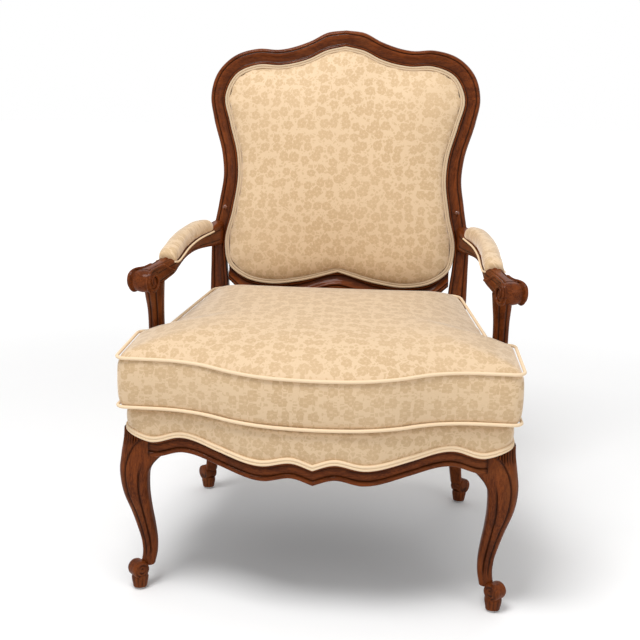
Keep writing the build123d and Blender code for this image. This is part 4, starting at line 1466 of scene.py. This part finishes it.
class CHAIR_OT_back_upholstery(bpy.types.Operator):
    """Back pad, its double welt, and the outside back panel with its welt"""

    bl_idname = "chair.back_upholstery"
    bl_label = "Back upholstery"

    def welt(self, bm, height, turn):
        """Double welt round the pad's edge at a height above the back's face, on one side of it."""
        strip = []
        for inset, out in double_welt(7.0):
            strip.append([on_back(p.x, p.y, (height + out) * turn) for p in back_loop(inset, WELT_STEP)])
        rings = [list(ring) for ring in zip(*strip)]
        skin(bm, rings + rings[:1], closed=True)

    def execute(self, context):
        cloth = context.scene.chair_cloth
        feel = context.scene.chair_pads
        fabric = damask("damask_back", cloth.ground, cloth.blossom, cloth.repeat)
        welting = plain_cloth("welting", tuple(cloth.welt), 900.0)
        middle = Vector((0, (BACK_INNER[0][1] + BACK_INNER[-1][1]) / 2))
        edge = back_loop(BACK_PAD_INSET, PLAN_STEP)
        slope = FaceMap((1, 0, 0), (0, math.sin(RAKE), math.cos(RAKE)))

        def stack(rows):
            rings = []
            for out, scale_to in rows:
                rings.append([on_back(*((p - middle) * scale_to + middle), out) for p in edge])
            return rings

        bm = bmesh.new()
        skin(bm, stack(BACK_PAD))
        pad = piece("back_pad_soft", bm, fabric, nodes=["back_pad"], slot="damask")
        hold = [[on_back(p.x, p.y, out) for p in edge] for out in BACK_PAD_HOLD]
        plump(pad, seam_weights(hold, SEAM_REACH), feel.pressure, feel.back_cap, BACK_PAD_VOXEL)
        lay_map(pad, slope)
        bm = bmesh.new()
        self.welt(bm, BACK_WELT_PROUD, 1)
        piece("back_welt_double", bm, welting, nodes=["back_welt"], slot="welting", sharp=60)
        bm = bmesh.new()
        skin(bm, stack([(-FRAME_DEPTH - out, scale_to) for out, scale_to in OUTSIDE_BACK]))
        panel = piece("outside_back_soft", bm, fabric, nodes=["outside_back"], slot="damask")
        lay_map(panel, slope)
        bm = bmesh.new()
        self.welt(bm, FRAME_DEPTH + REAR_WELT_PROUD, -1)
        rear = ["outside_back_welt"]
        piece("outside_back_welt_double", bm, welting, nodes=rear, slot="welting", sharp=60)
        return {"FINISHED"}


class CHAIR_OT_arm_pads(bpy.types.Operator):
    """Padded arm rests with a welt along their lower edges"""

    bl_idname = "chair.arm_pads"
    bl_label = "Arm pads"

    def execute(self, context):
        fabric = bpy.data.materials["damask_back"]
        welting = bpy.data.materials["welting"]
        path = [Vector(row[:3]) for row in sample_rows(ARM, ARM_STEP)]

        def seat(y):
            index = nearest(path, y)
            across, up = sweep_frame(path, index)
            return path[index], across, up

        def pad(bm):
            rings = []
            for y, wide, high, rise in sample_rows(ARM_PAD, ARM_PAD_STEP):
                spot, across, up = seat(y)
                ring = []
                for p in section(wide - 2, high, high * 0.46, 56):
                    out = p.x
                    if p.y < 0 and abs(p.x) > wide * 0.3:
                        out = math.copysign(wide / 2 - 0.5, p.x)
                    ring.append(spot + across * out + up * (rise + p.y * (0.9 if p.y < 0 else 1.0)))
                rings.append(ring)
            skin(bm, rings)

        def free(points):
            return np.zeros(len(points))

        for thing in pair("arm_pad_soft", pad, fabric, ["arm_pad"], slot="damask"):
            plump(thing, free, ARM_PAD_PRESSURE, ARM_PAD_CAP, ARM_PAD_VOXEL, passes=6)
            lay_map(thing, FaceMap((0.8, 0, 0.6), (0, 1, 0)))

        def welt(bm):
            for side in (-1, 1):
                line = []
                for y, wide, high, rise in sample_rows(ARM_PAD[1:], ARM_PAD_STEP):
                    spot, across, up = seat(y)
                    line.append(spot + across * side * (wide / 2 + 0.4) + up * (rise - high / 2 + 3.5))
                cord(bm, line, ARM_PAD_CORD, UP, sides=8, closed=False)

        pair("arm_pad_welt_cord", welt, welting, ["arm_pad_welt"], slot="welting", sharp=60)
        return {"FINISHED"}


class CHAIR_OT_deck(bpy.types.Operator):
    """Padded seat deck with its double welt along the border"""

    bl_idname = "chair.deck"
    bl_label = "Seat deck"

    def execute(self, context):
        fabric = bpy.data.materials["damask_back"]
        welting = bpy.data.materials["welting"]
        bm = bmesh.new()
        spaced = []
        for grow, share, extra, scale_to in DECK:
            ring = []
            for p, n in zip(SEAT.points, SEAT.outward):
                spot = (p + n * grow - DECK_MIDDLE) * scale_to + DECK_MIDDLE
                low = border_edge(p)
                top = DECK_TOP - droop(spot)
                ring.append(Vector((spot.x, spot.y, low + (top - low) * share + extra)))
            spaced.append(ring)
        for point in (p for ring in spaced for p in ring):
            if abs(point.x) > STILE_INNER_FOOT[-1][0]:
                point.y = min(point.y, on_back(point.x, point.z).y - DECK_GAP)
        skin(bm, spaced)
        deck = piece("seat_deck_soft", bm, fabric, nodes=["seat_deck"], slot="damask")
        lay_map(deck, RoundMap(SEAT))
        spots = list(zip(SEAT.points, SEAT.outward))
        half = len(rounded_half(SEAT_HALF, PLAN_STEP))
        bm = bmesh.new()
        rings = []
        for p, n in spots[half:] + spots[:half]:
            if p.y < DECK_WELT_END:
                low = border_edge(p)
                flat = [(p + n * (DECK_WELT_OUT + out), low + across) for across, out in double_welt(5.0)]
                rings.append([Vector((spot.x, spot.y, z)) for spot, z in flat])
        skin(bm, rings)
        piece("deck_welt_double", bm, welting, nodes=["deck_welt"], slot="welting", sharp=60)
        return {"FINISHED"}


def cushion_place(level, share):
    """Where a plan point of the cushion lies at a height of its front edge."""
    tilt = math.radians(CUSHION_TILT * share)

    def place(p):
        far = p.y - CUSHION_FRONT
        height = CUSHION_BASE + level + far * math.sin(tilt) - droop(p)
        return Vector((p.x, CUSHION_FRONT + far * math.cos(tilt), height))

    return place


class CHAIR_OT_cushion(bpy.types.Operator):
    """Loose seat cushion with ears, welts and a zip"""

    bl_idname = "chair.cushion"
    bl_label = "Seat cushion"

    def execute(self, context):
        fabric = bpy.data.materials["damask_back"]
        welting = bpy.data.materials["welting"]
        feel = context.scene.chair_pads
        rings = []
        for level, share, grow, scale_to in CUSHION_LEVELS:
            place = cushion_place(level, share)
            rings.append(SEAT_CUSHION.ring(
                grow, lambda p: place((p - CUSHION_MIDDLE) * scale_to + CUSHION_MIDDLE)
            ))
        for point in (p for ring in rings[ZIP_LEVELS] for p in ring):
            if abs(point.x) < ZIP_HALF:
                point.y = min(point.y, ZIP_BACKING)
        bm = bmesh.new()
        skin(bm, rings)
        covered = ["cushion_cover", "cushion_core"]
        pad = piece("cushion_soft", bm, fabric, body=CUSHION, nodes=covered, slot="damask")
        seams = {
            name: SEAT_CUSHION.ring(CUSHION_SEAM_GROW, cushion_place(level, share))
            for name, level, share in CUSHION_SEAMS
        }
        base = SEAT_CUSHION.ring(CUSHION_LEVELS[0][2], cushion_place(0.3, 0.0))
        sewn = seam_weights([*seams.values(), base], SEAM_REACH)

        def held(points):
            zipped = (points[:, 1] > ZIP_BACKING - ZIP_HOLD) & (np.abs(points[:, 0]) < ZIP_HALF)
            return np.maximum(sewn(points), zipped)

        plump(pad, held, feel.pressure, feel.cushion_cap, feel.voxel)
        lay_map(pad, RoundMap(SEAT_CUSHION))
        for name, seam in seams.items():
            bm = bmesh.new()
            path = []
            for p in seam:
                out = p - Vector((*CUSHION_MIDDLE, p.z))
                path.append(p + out.normalized() * CUSHION_CORD_OUT)
            cord(bm, path, CUSHION_CORD, UP)
            piece(
                f"cushion_{name}_cord", bm, welting, body=CUSHION, nodes=[f"cushion_{name}_welt"],
                slot="welting", sharp=60,
            )
        return {"FINISHED"}


class CHAIR_OT_inner_finish(bpy.types.Operator):
    """Finishes of the pieces inside and under the chair"""

    bl_idname = "chair.inner_finish"
    bl_label = "Inner pieces"

    def execute(self, context):
        finishes = {
            "beech": raw_wood("beech", (0.42, 0.27, 0.15)),
            "webbing": plain_cloth("jute_webbing", (0.35, 0.25, 0.14), 500.0),
            "burlap": plain_cloth("burlap", (0.4, 0.3, 0.18), 400.0),
            "cambric": plain_cloth("black_cambric", (0.02, 0.02, 0.02), 700.0),
            "zip_tape": plain_cloth("zip_tape", (0.6, 0.48, 0.33), 900.0),
            "brass": bare_metal("brass", (0.72, 0.52, 0.24), 0.28),
            "steel": bare_metal("spring_steel", (0.5, 0.5, 0.51), 0.35),
            "glide": bare_metal("glide_steel", (0.55, 0.55, 0.55), 0.35),
        }
        for row in frame["record"]["subparts"]:
            node = frame["nodes"][row["node"]]
            if row["material_slot"] in finishes:
                node.data.materials.clear()
                node.data.materials.append(finishes[row["material_slot"]])
        rail = frame["nodes"]["rear_seat_rail"]
        rail.data.materials.clear()
        rail.data.materials.append(bpy.data.materials["walnut_across"])
        return {"FINISHED"}


class CHAIR_PT_panel(bpy.types.Panel):
    """Steps that dress the chair"""

    bl_label = "Armchair"
    bl_idname = "CHAIR_PT_panel"
    bl_space_type = "VIEW_3D"
    bl_region_type = "UI"
    bl_category = "Armchair"

    def draw(self, context):
        for step in STEPS:
            self.layout.operator(step.bl_idname)


STEPS = (
    CHAIR_OT_stage, CHAIR_OT_back_frame, CHAIR_OT_front_legs, CHAIR_OT_arms, CHAIR_OT_seat_rails,
    CHAIR_OT_back_upholstery, CHAIR_OT_arm_pads, CHAIR_OT_deck, CHAIR_OT_cushion, CHAIR_OT_inner_finish,
)
GROUPS = {"chair_wood": WoodLook, "chair_cloth": ClothLook, "chair_pads": PadFeel, "chair_studio": Studio}


def register():
    """Register the properties, the steps and the panel."""
    for name, group in GROUPS.items():
        bpy.utils.register_class(group)
        setattr(bpy.types.Scene, name, PointerProperty(type=group))
    for step in STEPS + (CHAIR_PT_panel,):
        bpy.utils.register_class(step)


def unregister():
    """Take the panel, the steps and the properties away again."""
    for step in reversed(STEPS + (CHAIR_PT_panel,)):
        bpy.utils.unregister_class(step)
    for name, group in GROUPS.items():
        delattr(bpy.types.Scene, name)
        bpy.utils.unregister_class(group)


def main():
    """Dress the chair."""
    register()
    bpy.ops.chair.stage()
    bpy.ops.chair.back_frame()
    bpy.ops.chair.front_legs()
    bpy.ops.chair.arms()
    bpy.ops.chair.seat_rails()
    bpy.ops.chair.back_upholstery()
    bpy.ops.chair.arm_pads()
    bpy.ops.chair.deck()
    bpy.ops.chair.cushion()
    bpy.ops.chair.inner_finish()


if __name__ == "__main__":
    main()
